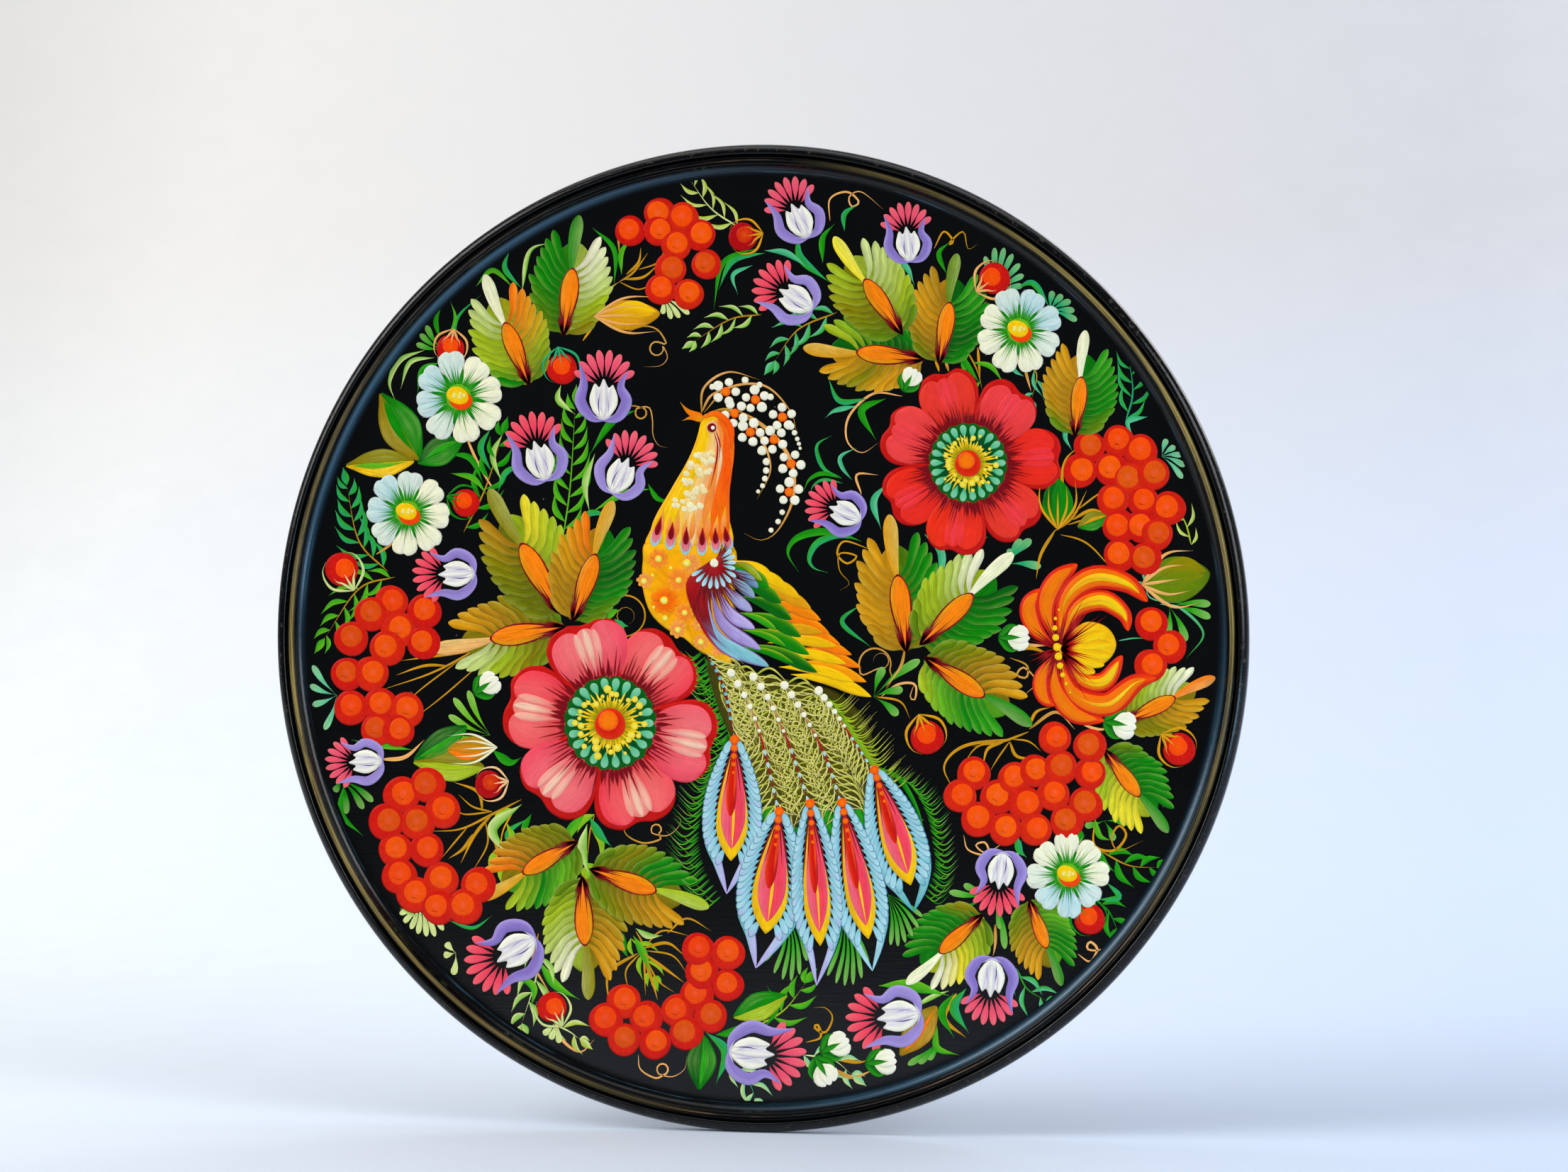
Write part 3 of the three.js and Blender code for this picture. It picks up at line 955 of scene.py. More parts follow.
@motif(LINE_PAINT)
def branch(stem, twigs, width=0.5, tints=(OCHRE, AMBER)):
    """A forked twig: every second arm is thicker, as a drop of paint ran into it."""
    line(stem, width, along(*tints), 0)
    for i, points in enumerate(twigs):
        line(points, width * (0.7 if i % 2 else 1.3), along(*tints), 0.3 + 0.3 * (i % 3))


@motif(PETAL_PAINT)
def closed_bud(base, tip, width, low, high, sepal, reach=0.72):
    """An egg-shaped bud held in slim sepals."""
    at = frame_of(base, tip, width)
    egg = closed_curve([at(0, 0), at(0.22, 0.78), at(0.5, 1), at(0.8, 0.66), at(1, 0.05), at(0.82, -0.62),
                        at(0.5, -1), at(0.2, -0.76)], 48)
    patch(egg, outward(mix(low, high, 0.5), low, mix(low, BLACK, 0.15)), 0, centre=at(0.5, 0.1))
    stroke([at(0.1, 0.1), at(0.55, 0.62), at(0.95, 0.12)], width * 0.34, along(low, high, high), 1, 0.6,
           1.2, 0.8)
    stroke([at(0.1, 0), at(0.55, 0.05), at(0.9, 0)], width * 0.34, along(low, mix(low, high, 0.5)), 1.3,
           0.6, 1.2, 0.8)
    for share in (-1, -0.5, 0, 0.5, 1):
        size = reach + 0.25 * abs(share)
        stroke([at(-0.06, 0), at(size * 0.45, 1.12 * share), at(size, 1.12 * share)], 0.07 * width + 0.2,
               sepal, 2.4, 0.3, 0.8, 1.4)


@motif(PETAL_PAINT)
def white_bud(x, z, degrees, size):
    """A small white bud in a dark green cup with three pointed sepals."""

    def at(a, b):
        return spun((a * size, b * size), degrees, (x, z))

    dot(*at(-0.5, 0), 0.72 * size, outward(DARK_GREEN, DARK_GREEN), 0)
    for shift in (-0.42, 0.42, 0.0):
        stroke([at(-0.5, 0.2 * shift), at(0.4, 1.25 * shift), at(1.15 - 0.2 * abs(shift), 0.85 * shift)],
               0.46 * size,
               along(mix(WHITE, PALE_LIME, 0.5), mix(WHITE, CREAM, 0.5), WHITE), 1 + 0.4 * (shift == 0),
               0.55, 0.7, 0.55)
    for shift in (-1, 1, 0.05):
        stroke([at(-1.1, 0.1 * shift), at(-0.35, 0.85 * shift), at(0.55 - 0.2 * abs(shift), 0.9 * shift)],
               0.22 * size, across(DARK_GREEN, LEAF), 2.4, 0.4, 0.8, 1.4)


# The tray -------------------------------------------------


BOARDS = 8
BOARD_WIDTH = 50.0
MIDDLE_GLUE_LINE = 3.0
TURN_STEPS = 288
SHARP_EDGE = math.radians(38)

# Parts of the lacquer, in metres: where the front and the foot's face end in depth, and bands on the turned
# shape by their middle radius, half width and soft edge. The lip and foot bands are rubbed wear; the warm
# lines, the bead's brown streaks, the cove's blue-grey band and the blue line at the well's edge are painted
# reflections.
FRONT_DEPTHS = (-0.002, -0.001)
FOOT_DEPTHS = (0.0125, 0.0129)
LIP_RUB = (0.1982, 0.0006, 0.0012)
# Painted reflection: warm lines round the bead.
WARM_REFLECTION_LINES = ((0.19285, 0.0003, 0.0002), (0.1939, 0.00036, 0.0002))
# Painted reflection: brown streaks on the bead.
BEAD_REFLECTION = (0.1934, 0.00016, 0.0002)
# Painted reflection: a blue-grey band on the cove.
COVE_REFLECTION = (0.1887, 0.0017, 0.0012)
# Painted reflection: a thin blue line at the well's edge.
WELL_EDGE_REFLECTION = (0.189, 0.00022, 0.0003)
FOOT_RUB = (0.132, 0.0058, 0.001)
TURNED_MARKS = (0.194, 0.0065, 0.002)
# Turns round the rim at which the painted warm reflection and the painted blue-grey cove reflection are
# clearest.
CLEAREST_WARM_REFLECTION = math.radians(68)
CLEAREST_COVE_REFLECTION = math.radians(-48)

LACQUER_IOR = 1.36
LACQUER_RELIEF = 0.00012
METAL_RELIEF = 0.00005


def arc(centre, spans, first, last, count):
    """Points of an elliptical arc, by angle in degrees from the outward (radius) direction."""
    angles = np.radians(np.linspace(first, last, count))
    return [(centre[0] + spans[0] * math.cos(a), centre[1] + spans[1] * math.sin(a)) for a in angles]


def turned_profile():
    """The turned outline as (radius, depth) in millimetres: the well, its cove, a bead between two grooves,
    the rounded lip, the underside, the foot ring and the recess in the back."""
    front = [(0.0, -1.0), (60.0, -1.0), (120.0, -1.0), (160.0, -1.0), (186.6, -1.0)]
    cove = arc((187.0, -4.3), (4.6, 3.3), 84, 8, 9)
    grooves = []
    for radius, half, height in ((192.35, 0.45, 0.45), (193.45, 0.6, 0.8), (194.6, 0.42, 0.4)):
        grooves += arc((radius, -4.35), (half, -height), 172, 8, 7)
    lip = [(195.1, -4.5), (195.25, -5.4)]
    lip += arc((196.4, -3.2), (1.0, -2.7), 160, 100, 4)
    lip += arc((196.4, -1.2), (3.6, -4.75), 88, 8, 9)
    lip += arc((196.2, 0.8), (3.8, 3.6), 0, 80, 8)
    back = [(190.0, 5.5), (170.0, 6.9), (150.0, 8.3), (142.5, 8.85)]
    foot = [(140.6, 9.1), (139.2, 10.4), (138.4, 12.2), (137.4, 12.9), (136.6, 13.0), (127.4, 13.0),
            (126.6, 12.9), (125.6, 12.2), (124.8, 9.6), (123.2, 8.2), (121.0, 8.0)]
    recess = [(90.0, 8.0), (45.0, 8.0), (0.0, 8.0)]
    return front + cove + grooves + lip + back + foot + recess


def turned_mesh():
    """The whole turned shape as a closed bmesh, its axis along Y."""
    profile = turned_profile()
    shape = bmesh.new()
    rings = []
    for radius, depth in profile:
        if radius == 0.0:
            rings.append([shape.verts.new((0.0, depth * MM, CENTRE_Z))])
            continue
        ring = []
        for k in range(TURN_STEPS):
            angle = 2 * math.pi * k / TURN_STEPS
            x, z = radius * MM * math.sin(angle), radius * MM * math.cos(angle)
            ring.append(shape.verts.new((x, depth * MM, CENTRE_Z + z)))
        rings.append(ring)
    for inner, outer in zip(rings, rings[1:]):
        for k in range(TURN_STEPS):
            n = (k + 1) % TURN_STEPS
            if len(inner) == 1:
                shape.faces.new((inner[0], outer[k], outer[n]))
            elif len(outer) == 1:
                shape.faces.new((inner[k], outer[0], inner[n]))
            else:
                shape.faces.new((inner[k], outer[k], outer[n], inner[n]))
    bmesh.ops.recalc_face_normals(shape, faces=shape.faces)
    return shape


def slice_off(shape, x, keep_right):
    """Cuts the shape at a glue line and closes the cut."""
    geometry = shape.verts[:] + shape.edges[:] + shape.faces[:]
    cut = bmesh.ops.bisect_plane(
        shape, geom=geometry, plane_co=(x * MM, 0, 0), plane_no=(1, 0, 0),
        clear_inner=keep_right, clear_outer=not keep_right)
    edges = [item for item in cut["geom_cut"] if isinstance(item, bmesh.types.BMEdge)]
    bmesh.ops.holes_fill(shape, edges=edges, sides=0)


def lacquered_boards(material):
    """One lacquered piece for each board, cut from one turned shape so that the surface runs on unbroken."""
    for index in range(BOARDS):
        left = MIDDLE_GLUE_LINE + (index - BOARDS // 2) * BOARD_WIDTH
        shape = turned_mesh()
        if index > 0:
            slice_off(shape, left, True)
        if index < BOARDS - 1:
            slice_off(shape, left + BOARD_WIDTH, False)
        bmesh.ops.recalc_face_normals(shape, faces=shape.faces)
        name = f"lacquered_board_{index + 1}"
        mesh = bpy.data.meshes.new(name)
        shape.to_mesh(mesh)
        shape.free()
        mesh.shade_smooth()
        mesh.set_sharp_from_angle(angle=SHARP_EDGE)
        mesh.materials.append(material)
        board = new_object(name, mesh)
        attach(board, "tray")
        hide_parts(f"board_{index + 1}")


def lacquer():
    """Black gloss lacquer over wood: brush marks, dust specks and rubbed edges, with painted reflections:
    warm lines round the bead, brown streaks on it, a blue-grey band on the cove and a blue line at the well's
    edge."""
    look = Surface("black_lacquer")
    place = look.place()
    x, depth, z = look.split(place)
    height = look.math("SUBTRACT", z, CENTRE_Z)
    radius = look.vector("LENGTH", look.joined(x, height), "Value")
    turn = look.math("ARCTAN2", x, height)

    def band(middle, half, edge):
        """1 where the radius is within half of middle (metres), falling to 0 over edge."""
        away = look.math("ABSOLUTE", look.math("SUBTRACT", radius, middle))
        return look.remap(away, half, half + edge, 1.0, 0.0)

    def two_sides(angle, low, high, most):
        """A mask round the rim that is strongest on two opposite sides, one of them at the given angle."""
        toward = look.math("COSINE", look.math("SUBTRACT", turn, angle))
        return look.remap(look.product(toward, toward), low, high, 0.0, most)

    brushed = look.noise(place, (90.0, 90.0, 900.0), 4.0)
    turned = look.noise(look.joined(radius, turn, depth), (2200.0, 6.0, 900.0), 5.0, 0.7)
    front_only = look.remap(depth, *FRONT_DEPTHS, 1.0, 0.0)
    back_only = look.remap(depth, *FOOT_DEPTHS, 0.0, 1.0)
    haze = look.remap(look.noise(place, even(14.0), 3.0), 0.35, 0.7, 0.0, 0.4)
    rub = look.remap(look.noise(place, even(420.0), 6.0, 0.7), 0.56, 0.66, 0.0, 1.0)
    lip_rub = look.product(band(*LIP_RUB), rub)
    # Streaks along the turning on the front that carry the painted reflections on the bead and at the well's
    # edge.
    front_reflection_streaks = look.product(look.remap(turned, 0.53, 0.62, 0.0, 0.8), front_only)
    broken = look.remap(turned, 0.36, 0.5, 0.1, 1.0)
    patchy = look.remap(look.noise(place, even(9.0), 2.0), 0.36, 0.56, 0.45, 1.0)
    # Painted warm reflection, broken and patchy, clearest on two opposite sides of the rim.
    warm_reflection = look.product(broken, patchy, two_sides(CLEAREST_WARM_REFLECTION, 0.2, 0.85, 1.0), front_only)
    # Painted blue-grey reflection on the cove, clearest on two other opposite sides.
    cove_reflection = look.product(two_sides(CLEAREST_COVE_REFLECTION, 0.35, 0.95, 0.9), front_only)
    cells = look.add("ShaderNodeTexVoronoi", Scale=85.0, Randomness=1.0)
    look.feed(cells.inputs["Vector"], place)
    specks = look.remap(cells.outputs["Distance"], 0.022, 0.03, 0.7, 0.0)
    black = look.blend(haze, linear("050607"), linear("0d0c0b"))
    look.shade("Base Color", look.layered(black, [
        (lip_rub, "3b342d"),
        # Painted reflections: warm lines, brown streaks on the bead, the blue-grey cove band and the blue
        # well-edge line.
        *((look.product(band(*reflection_line), warm_reflection), "b39b58") for reflection_line in WARM_REFLECTION_LINES),
        (look.product(band(*BEAD_REFLECTION), front_reflection_streaks), "7a5a3c"),
        (look.product(band(*COVE_REFLECTION), cove_reflection), "3a6179"),
        (look.product(band(*WELL_EDGE_REFLECTION), front_reflection_streaks), "56879f"),
        (look.product(band(*FOOT_RUB), rub, back_only), "6d4a2c"),
        (specks, "6e6b66"),
    ]))
    gloss = look.remap(brushed, 0.3, 0.75, 0.09, 0.17)
    look.shade("Roughness", look.math("ADD", gloss, look.product(lip_rub, rub)))
    look.shade("IOR", LACQUER_IOR)
    turned_marks = look.product(turned, band(*TURNED_MARKS))
    look.bump(look.math("ADD", look.product(brushed, 0.5), turned_marks), 0.5, LACQUER_RELIEF)
    return look.material


def metal(name, colour, tarnish, gloss):
    """A worn metal: brushed one way, darker where it has tarnished."""
    look = Surface(name)
    place = look.place()
    brushed = look.noise(place, (300.0, 4000.0, 4000.0), 3.0)
    tarnished = look.remap(look.noise(place, even(500.0), 4.0), 0.45, 0.7, 0.0, 0.85)
    look.shade("Base Color", look.blend(tarnished, linear(colour), linear(tarnish)))
    look.shade("Roughness", look.remap(brushed, 0.3, 0.7, gloss, gloss + 0.22))
    look.shade("Metallic", 1.0)
    look.bump(brushed, 0.3, METAL_RELIEF)
    return look.material


def finish_hanger():
    """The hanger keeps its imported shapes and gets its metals."""
    brass = metal("hanger_brass_finish", "c49a4c", "6d4f22", 0.26)
    steel = metal("hanger_steel_finish", "b4b3ae", "6b6862", 0.24)
    finishes = {"hanger_plate": brass, "hanger_ring": steel, "hanger_screw_left": steel,
                "hanger_screw_right": steel}
    for node, material in finishes.items():
        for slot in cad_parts[node].material_slots:
            slot.material = material


# The bird -------------------------------------------------


@motif(FEATHER_PAINT)
def bird_neck():
    """The head and neck: long strokes, yellow in front, peach beside them and orange-red behind."""
    front = np.array([(-48.5, 36), (-45.6, 46), (-38.6, 58), (-31.2, 71), (-27.8, 80), (-26.4, 87)])
    back = np.array([(-13.6, 37), (-14.8, 50), (-14.8, 62), (-13.2, 73), (-13.2, 82), (-17, 89)])
    gold, flame = mix(YELLOW, ORANGE, 0.25), mix(VERMILION, ORANGE, 0.25)
    outline = [*front, (-25, 90.2), (-19.7, 91.6), *back[::-1], (-30, 36)]
    patch(closed_curve(outline, 90), outward(YELLOW, YELLOW, gold), 0, dome=0.3)
    colours = (gold, YELLOW, YELLOW, YELLOW, mix(YELLOW, SKIN, 0.7), SKIN, mix(PEACH, ORANGE, 0.5), flame,
               flame, mix(VERMILION, ORANGE, 0.6))
    for i in range(12):
        share = 0.05 + 0.9 * i / 11
        tone = ramp(colours, share)
        stroke(mix(front, back, share), 2.0, across(tone, mix(tone, YELLOW, 0.12), tone), 1 + 0.4 * (i % 3),
               0.2, 0.6, 0.5)
    stroke([(-26, 88.4), (-20, 90.6), (-14.2, 85), (-13.7, 76)], 1.7, along(ORANGE, flame, flame), 2.6, 0.5,
           0.7, 0.8)
    stroke([(-16.4, 84), (-15.4, 70), (-17.2, 52), (-17, 42)], 2.2, along(flame, flame, ORANGE), 2.8, 0.4,
           0.8, 0.9)
    stroke([(-20, 82), (-18.2, 72), (-20.5, 58)], 1.0, along(CREAM, SKIN, PEACH), 3, 0.35, 0.8, 1.4)
    for i in range(9):
        foot = (-43 + 3.2 * i, 41 - 1.5 * math.sin(math.pi * i / 8))
        stroke([foot, (foot[0] + 1.4, foot[1] + 12 - 3 * (i % 2))], 1.3,
               along(ORANGE, mix(ORANGE, PEACH, 0.5), gold), 3, 0.3)
    for i in range(46):
        share, across_neck = rng.random(), rng.uniform(0.16, 0.62)
        place = mix(mix(front[1], front[3], share), mix(back[1], back[3], share), across_neck)
        dot(*(place + (0.0, 3.0)), rng.uniform(0.9, 1.7), mix(YELLOW, CREAM, rng.uniform(0.45, 1.0)), 3.4,
            1.2, 60, dome=1.5, sides=12)
    line([(-20.8, 83.4), (-19.2, 77.5), (-20.0, 70), (-22.4, 60)], 0.5, CRIMSON, 4.4)
    line([(-19.9, 83.5), (-18.3, 78), (-18.8, 71)], 0.4, CRIMSON, 4.4)
    stroke([(-34.8, 95.3), (-31, 91.2), (-25, 88.9)], 1.5, along(OCHRE, ORANGE, ORANGE), 3.4, 0.8, 1.4, 0.8)
    stroke([(-33.9, 87.7), (-30, 88.9), (-25, 88.0)], 1.3, along(OCHRE, ORANGE, AMBER), 3.8, 0.8, 1.4, 0.8)
    dot(-21.6, 84.9, 2.6, outward(CREAM, SKIN, PEACH), 5)
    dot(-21.6, 84.9, 2.1, outward(WINE, WINE), 5.6)
    dot(-21.2, 84.9, 0.95, WHITE, 6.2)


@motif(FEATHER_PAINT)
def bird_breast():
    """The breast: a yellow field with orange flowers under a collar of dark red drops on blue ones."""
    glow = mix(YELLOW, ORANGE, 0.7)
    field = [(-48.2, 38.7), (-50.2, 31), (-50.5, 24), (-49.8, 17.4), (-47.6, 10.7), (-44, 6), (-39, 2.2),
             (-33, -0.7), (-28, -5), (-21, -9), (-14, -11), (-12, -2), (-12, 20), (-12.8, 37), (-30, 38)]
    patch(closed_curve(field, 75), outward(glow, glow, mix(YELLOW, ORANGE, 0.45), mix(YELLOW, ORANGE, 0.2)),
          3, dome=0.3)
    for x, z, size in ((-43.6, 31.4, 5.0), (-35, 23, 5.4), (-49, 23, 3.6), (-41.3, 14.6, 6.8),
                       (-30, 30, 4.4),
                       (-32.8, 9.8, 4.6), (-26.3, 5.1, 3.8), (-35.6, 3.6, 4.2), (-26, -2, 3.6),
                       (-19.2, -5, 3.2)):
        warm = mix(ORANGE, VERMILION, 0.45) if size > 6 else mix(ORANGE, PEACH, 0.15 + 0.3 * (size < 4.5))
        for k in range(9):
            drop((x, z), polar((x, z), 40 * k + 5 * size, size * rng.uniform(0.8, 1.05)), 0.3 * size,
                 along(warm, warm, mix(warm, YELLOW, 0.4)), 3.8 + 0.1 * (k % 2), 0.0, 0.66)
    for x, z, size in ((-43.6, 31.6, 1.7), (-31.9, 30, 1.9), (-35.3, 23, 1.5), (-49.6, 22.6, 1.5),
                       (-41.3, 14.8, 1.9),
                       (-32.8, 9.8, 1.4), (-40.9, 7.6, 1.4), (-35.6, 2.9, 1.5), (-26.3, 5, 1.2),
                       (-26.2, -2, 1.5),
                       (-19.2, -3.6, 1.3), (-38.5, 28, 0.9), (-45.6, 12, 0.8), (-30, 16, 0.9),
                       (-46, 25, 0.8)):
        dot(x, z, size, outward(CREAM, LEMON, mix(LEMON, YELLOW, 0.5)), 5, dome=3.0)
    collar = zip([(-42.4, 49), (-37.7, 46.6), (-32, 44.8), (-25.4, 44.4), (-20.2, 44.4), (-16.3, 45)],
                 [(-45.6, 36.8), (-39.2, 35.4), (-32.6, 33.2), (-25.8, 33), (-19.9, 34), (-14.6, 35)])
    for top, low in collar:
        at = frame_of(low, top, math.dist(low, top))
        drop(at(0.95, 0), at(0, 0), 2.25, along(TEAL, SKY, SKY), 5.6)
        drop(at(1, 0), at(0.1, 0), 1.95, along(CRIMSON, ROSE, mix(ROSE, SKY, 0.4)), 6.4)
        drop(at(0.98, 0), at(0.36, 0), 1.3, along(CRIMSON, WINE, WINE), 7.2)


def feather_row(roots, tips, count, width, tints, layer, edge=None):
    """Feathers whose roots and tips lie on two curves, each one over the next."""
    first, last = smooth_path(roots, count), smooth_path(tips, count)
    for i in range(count):
        tone = ramp(tints, i / (count - 1))
        lit = mix(tone, YELLOW, 0.35) if edge is None else edge
        at = frame_of(first[i], last[i], math.dist(first[i], last[i]))
        stroke([at(0, 0), at(0.5, 0.06), at(1, 0)], width, across(lit, tone, tone, mix(tone, BLACK, 0.15)),
               layer + (count - i) / count, 0.66, 1.0, 0.75)


def long_feathers():
    """Long feathers down from the shoulder, from dark green at the back to blue at the breast."""
    slate = mix(PURPLE, TEAL, 0.5)
    for points, width, low, high in (
        ([(-15, 29.5), (-8, 29), (-1, 23)], 1.6, mix(OLIVE, BLACK, 0.4), mix(LEAF, YELLOW, 0.3)),
        ([(-15, 27.5), (-8, 25), (-2.5, 20)], 1.9, mix(slate, BLACK, 0.5), mix(slate, BLACK, 0.1)),
        ([(-16, 25), (-9, 20.5), (-4, 16)], 2.2, mix(slate, BLACK, 0.4), mix(slate, WHITE, 0.1)),
        ([(-18, 22), (-11, 15), (-5, 10.5)], 2.4, mix(PURPLE, WINE, 0.5), mix(LILAC, TEAL, 0.25)),
        ([(-20, 20), (-13.5, 9), (-4, 3.5)], 2.6, mix(PURPLE, WINE, 0.5), LILAC),
        ([(-22, 19), (-16.5, 5), (-1.5, -5)], 2.6, mix(PURPLE, WINE, 0.3), mix(PURPLE, LILAC, 0.7)),
        ([(-24, 18), (-19.5, 0), (1.8, -11.8)], 2.8, mix(PURPLE, LILAC, 0.5), mix(SKY, TEAL, 0.5)),
        ([(-26, 16), (-23, 2), (-10, -9.6)], 1.6, mix(PURPLE, SKY, 0.4), mix(SKY, TEAL, 0.3)),
    ):
        stroke(points, width * 1.14, mix(low, BLACK, 0.3), 10, 0.66, 1.1, 0.6)
        stroke(points, width, bathed(low, mix(high, WHITE, 0.15), high, mix(high, low, 0.3)), 10.6, 0.66,
               1.1, 0.6)


def shoulder_fan():
    """Wine-coloured hairs that spread from the shoulder, and a ring of blue drops round a white spot."""
    shoulder = (-20.6, 30)
    for i in range(9):
        shift = 0.9 * i
        curve = [(-22 + 0.3 * i, 31), (-31.5 + shift, 22 - 0.2 * i), (-28 + shift, 8 - 0.8 * i),
                 (-21 + shift, -2 - 0.4 * i)]
        stroke(curve, 0.75, along(WINE, CRIMSON, WINE, mix(WINE, PURPLE, 0.5)), 11.6 + 0.1 * (i % 3), 0.3,
               0.8, 1.5)
    stroke([(-29.5, 19), (-26.5, 6), (-18.5, -5), (-9, -9.8)], 0.8, along(WINE, CRIMSON, PURPLE), 12.4, 0.4)
    for i in range(34):
        angle = 62 - 6.4 * i
        reach = (10 + 9 * math.sin(math.radians(-angle)) ** 2 * (angle < 0)) * rng.uniform(0.7, 1.05)
        stroke([polar(shoulder, angle, 1), polar(shoulder, angle - 4, 0.5 * reach),
                polar(shoulder, angle + 4, reach)],
               0.62, along(CRIMSON, WINE, mix(WINE, BLACK, 0.4)), 13 + 0.1 * (i % 4), 0.35, 0.8, 1.5)
    for i in range(12):
        angle = 36 - 17 * i
        near = 3.6 + 1.6 * (i > 3)
        drop(polar(shoulder, angle, near), polar(shoulder, angle, near + 5.4), 0.95,
             along(TEAL, SKY, PALE_BLUE), 14)
    for i in range(30):
        angle = -18 - 3.4 * i
        reach = rng.uniform(15, 25)
        stroke([polar(shoulder, angle, 6), polar(shoulder, angle - 4, 0.6 * reach),
                polar(shoulder, angle + 2, reach)],
               0.34, along(WINE, mix(WINE, BLACK, 0.5)), 12.6 + 0.1 * (i % 3), 0.3, 0.8, 1.7)
    dot(*shoulder, 2.0, outward(WHITE, CREAM), 15, dome=3.0)


@motif(FEATHER_PAINT)
def bird_wing():
    """The folded wing: rows of orange and green feathers under the long ones and the shoulder's fan."""
    feather_row([(-13, 31), (-4, 22), (0, 12), (5, -1), (11, -15)],
                [(4, 23), (14, 16.5), (22, 8.5), (28, 0), (38.5, -10), (44, -24)], 11, 2.7,
                (YELLOW, YELLOW, AMBER, ORANGE, ORANGE, ORANGE, ORANGE, YELLOW), 6)
    feather_row([(-2, 2), (4, -6), (6, -12)], [(24, 2), (31, -5), (37, -18)], 4, 2.4,
                (AMBER, YELLOW, YELLOW), 7.2)
    feather_row([(-13, 29), (-9, 17), (-8, 7), (-10, -3)], [(2, 20), (8, 12.5), (15, 0.5), (21.9, -14.2)],
                6, 3.0, (GREEN, DARK_GREEN, DARK_GREEN, GREEN, DARK_GREEN), 8.4, edge=mix(LEAF, LIME, 0.4))
    feather_row([(-10, 10), (-9, 3), (-10, -4)], [(5, 3), (9, -4), (12, -10.5)], 3, 1.6, (LEAF, GREEN), 9.6,
                edge=LIME)
    long_feathers()
    shoulder_fan()


@motif(LINE_PAINT)
def bird_crest():
    """The crest: curved stalks hung with white five-dot flowers and strings of dots."""
    stalks = (
        [(-26, 90), (-25, 101), (-15, 107.5), (-2, 104.5)],
        [(-25, 91), (-15, 101), (0, 102), (10.5, 92), (13.5, 82)],
        [(-24.8, 89.7), (-16.3, 92.5), (-4.9, 88.6), (5.4, 80.2), (11.6, 69), (11.6, 55.5), (5.4, 43.2),
         (-1.5, 39.3), (-8.3, 42.1)],
        [(-26, 91), (-22, 98), (-15, 101)],
        [(-20, 92), (-8, 90), (-1, 80), (2.5, 68), (-3, 56)],
    )
    for i, points in enumerate(stalks):
        line(points, 0.85 if i == 2 else 0.55, along(OCHRE, PEACH, OCHRE))
    for i, (x, z) in enumerate(((-15.9, 99.6), (-3.7, 96.4), (-12.3, 90.8), (-5.8, 83.2), (7.4, 89.3),
                                (4, 80.2), (11, 70.4), (10.2, 58.9))):
        for k in range(5):
            size = rng.uniform(1.75, 2.15)
            dot(*polar((x, z), 72 * k + 23 * i, 4.0), size, outward(WHITE, WHITE, CREAM), 1, dome=3.0)
        dot(x, z, 2.0, outward(ORANGE, ORANGE, VERMILION), 2, dome=3.0)
    for x, z, size in ((-8, 104.3, 1.5), (-21.5, 101.5, 1.3), (-2, 102.4, 1.3), (2.5, 97.5, 1.4),
                       (11, 85.6, 1.5),
                       (12.4, 83, 1.2), (13.5, 80.5, 1.0), (14.2, 78.5, 0.9), (14.7, 76.7, 0.7),
                       (-1, 75.7, 2.0),
                       (0.8, 71.2, 1.6), (0.7, 67.6, 1.4), (0.2, 64.3, 1.3), (-0.8, 61.4, 1.1),
                       (-2.6, 59.1, 0.9), (7.3, 50.7, 1.2), (5.6, 46.9, 1.2), (2.7, 43.4, 1.1)):
        dot(x, z, size, outward(WHITE, CREAM), 1, dome=3.0)


TAIL_SPINES = (
    ((-25, -6), (-20, -13), (-15.4, -25), (-12.5, -42)),
    ((-13.7, -14.5), (-7.7, -24.5), (-1.5, -40), (6, -71)),
    ((-4.5, -16), (1.3, -24.2), (10, -43), (19, -69)),
    ((8.3, -19.5), (14.1, -27.7), (24.5, -46.7), (32, -68.6)),
    ((22.4, -21.7), (29.2, -30.3), (37, -42), (45.6, -55)),
)


def fringe(path, side, count, reach, width, tint, layer):
    """Long hairs that hang out from a path and turn up at their ends. side is -1 for left and 1 for right."""
    for place in smooth_path(path, count):
        size = reach * rng.uniform(0.8, 1.1)
        knee = place + np.array((0.52 * side, -0.36)) * size
        stroke([place, knee, place + np.array((side, 0.04)) * size], width, tint, layer, 0.3, 0.8, 1.6)


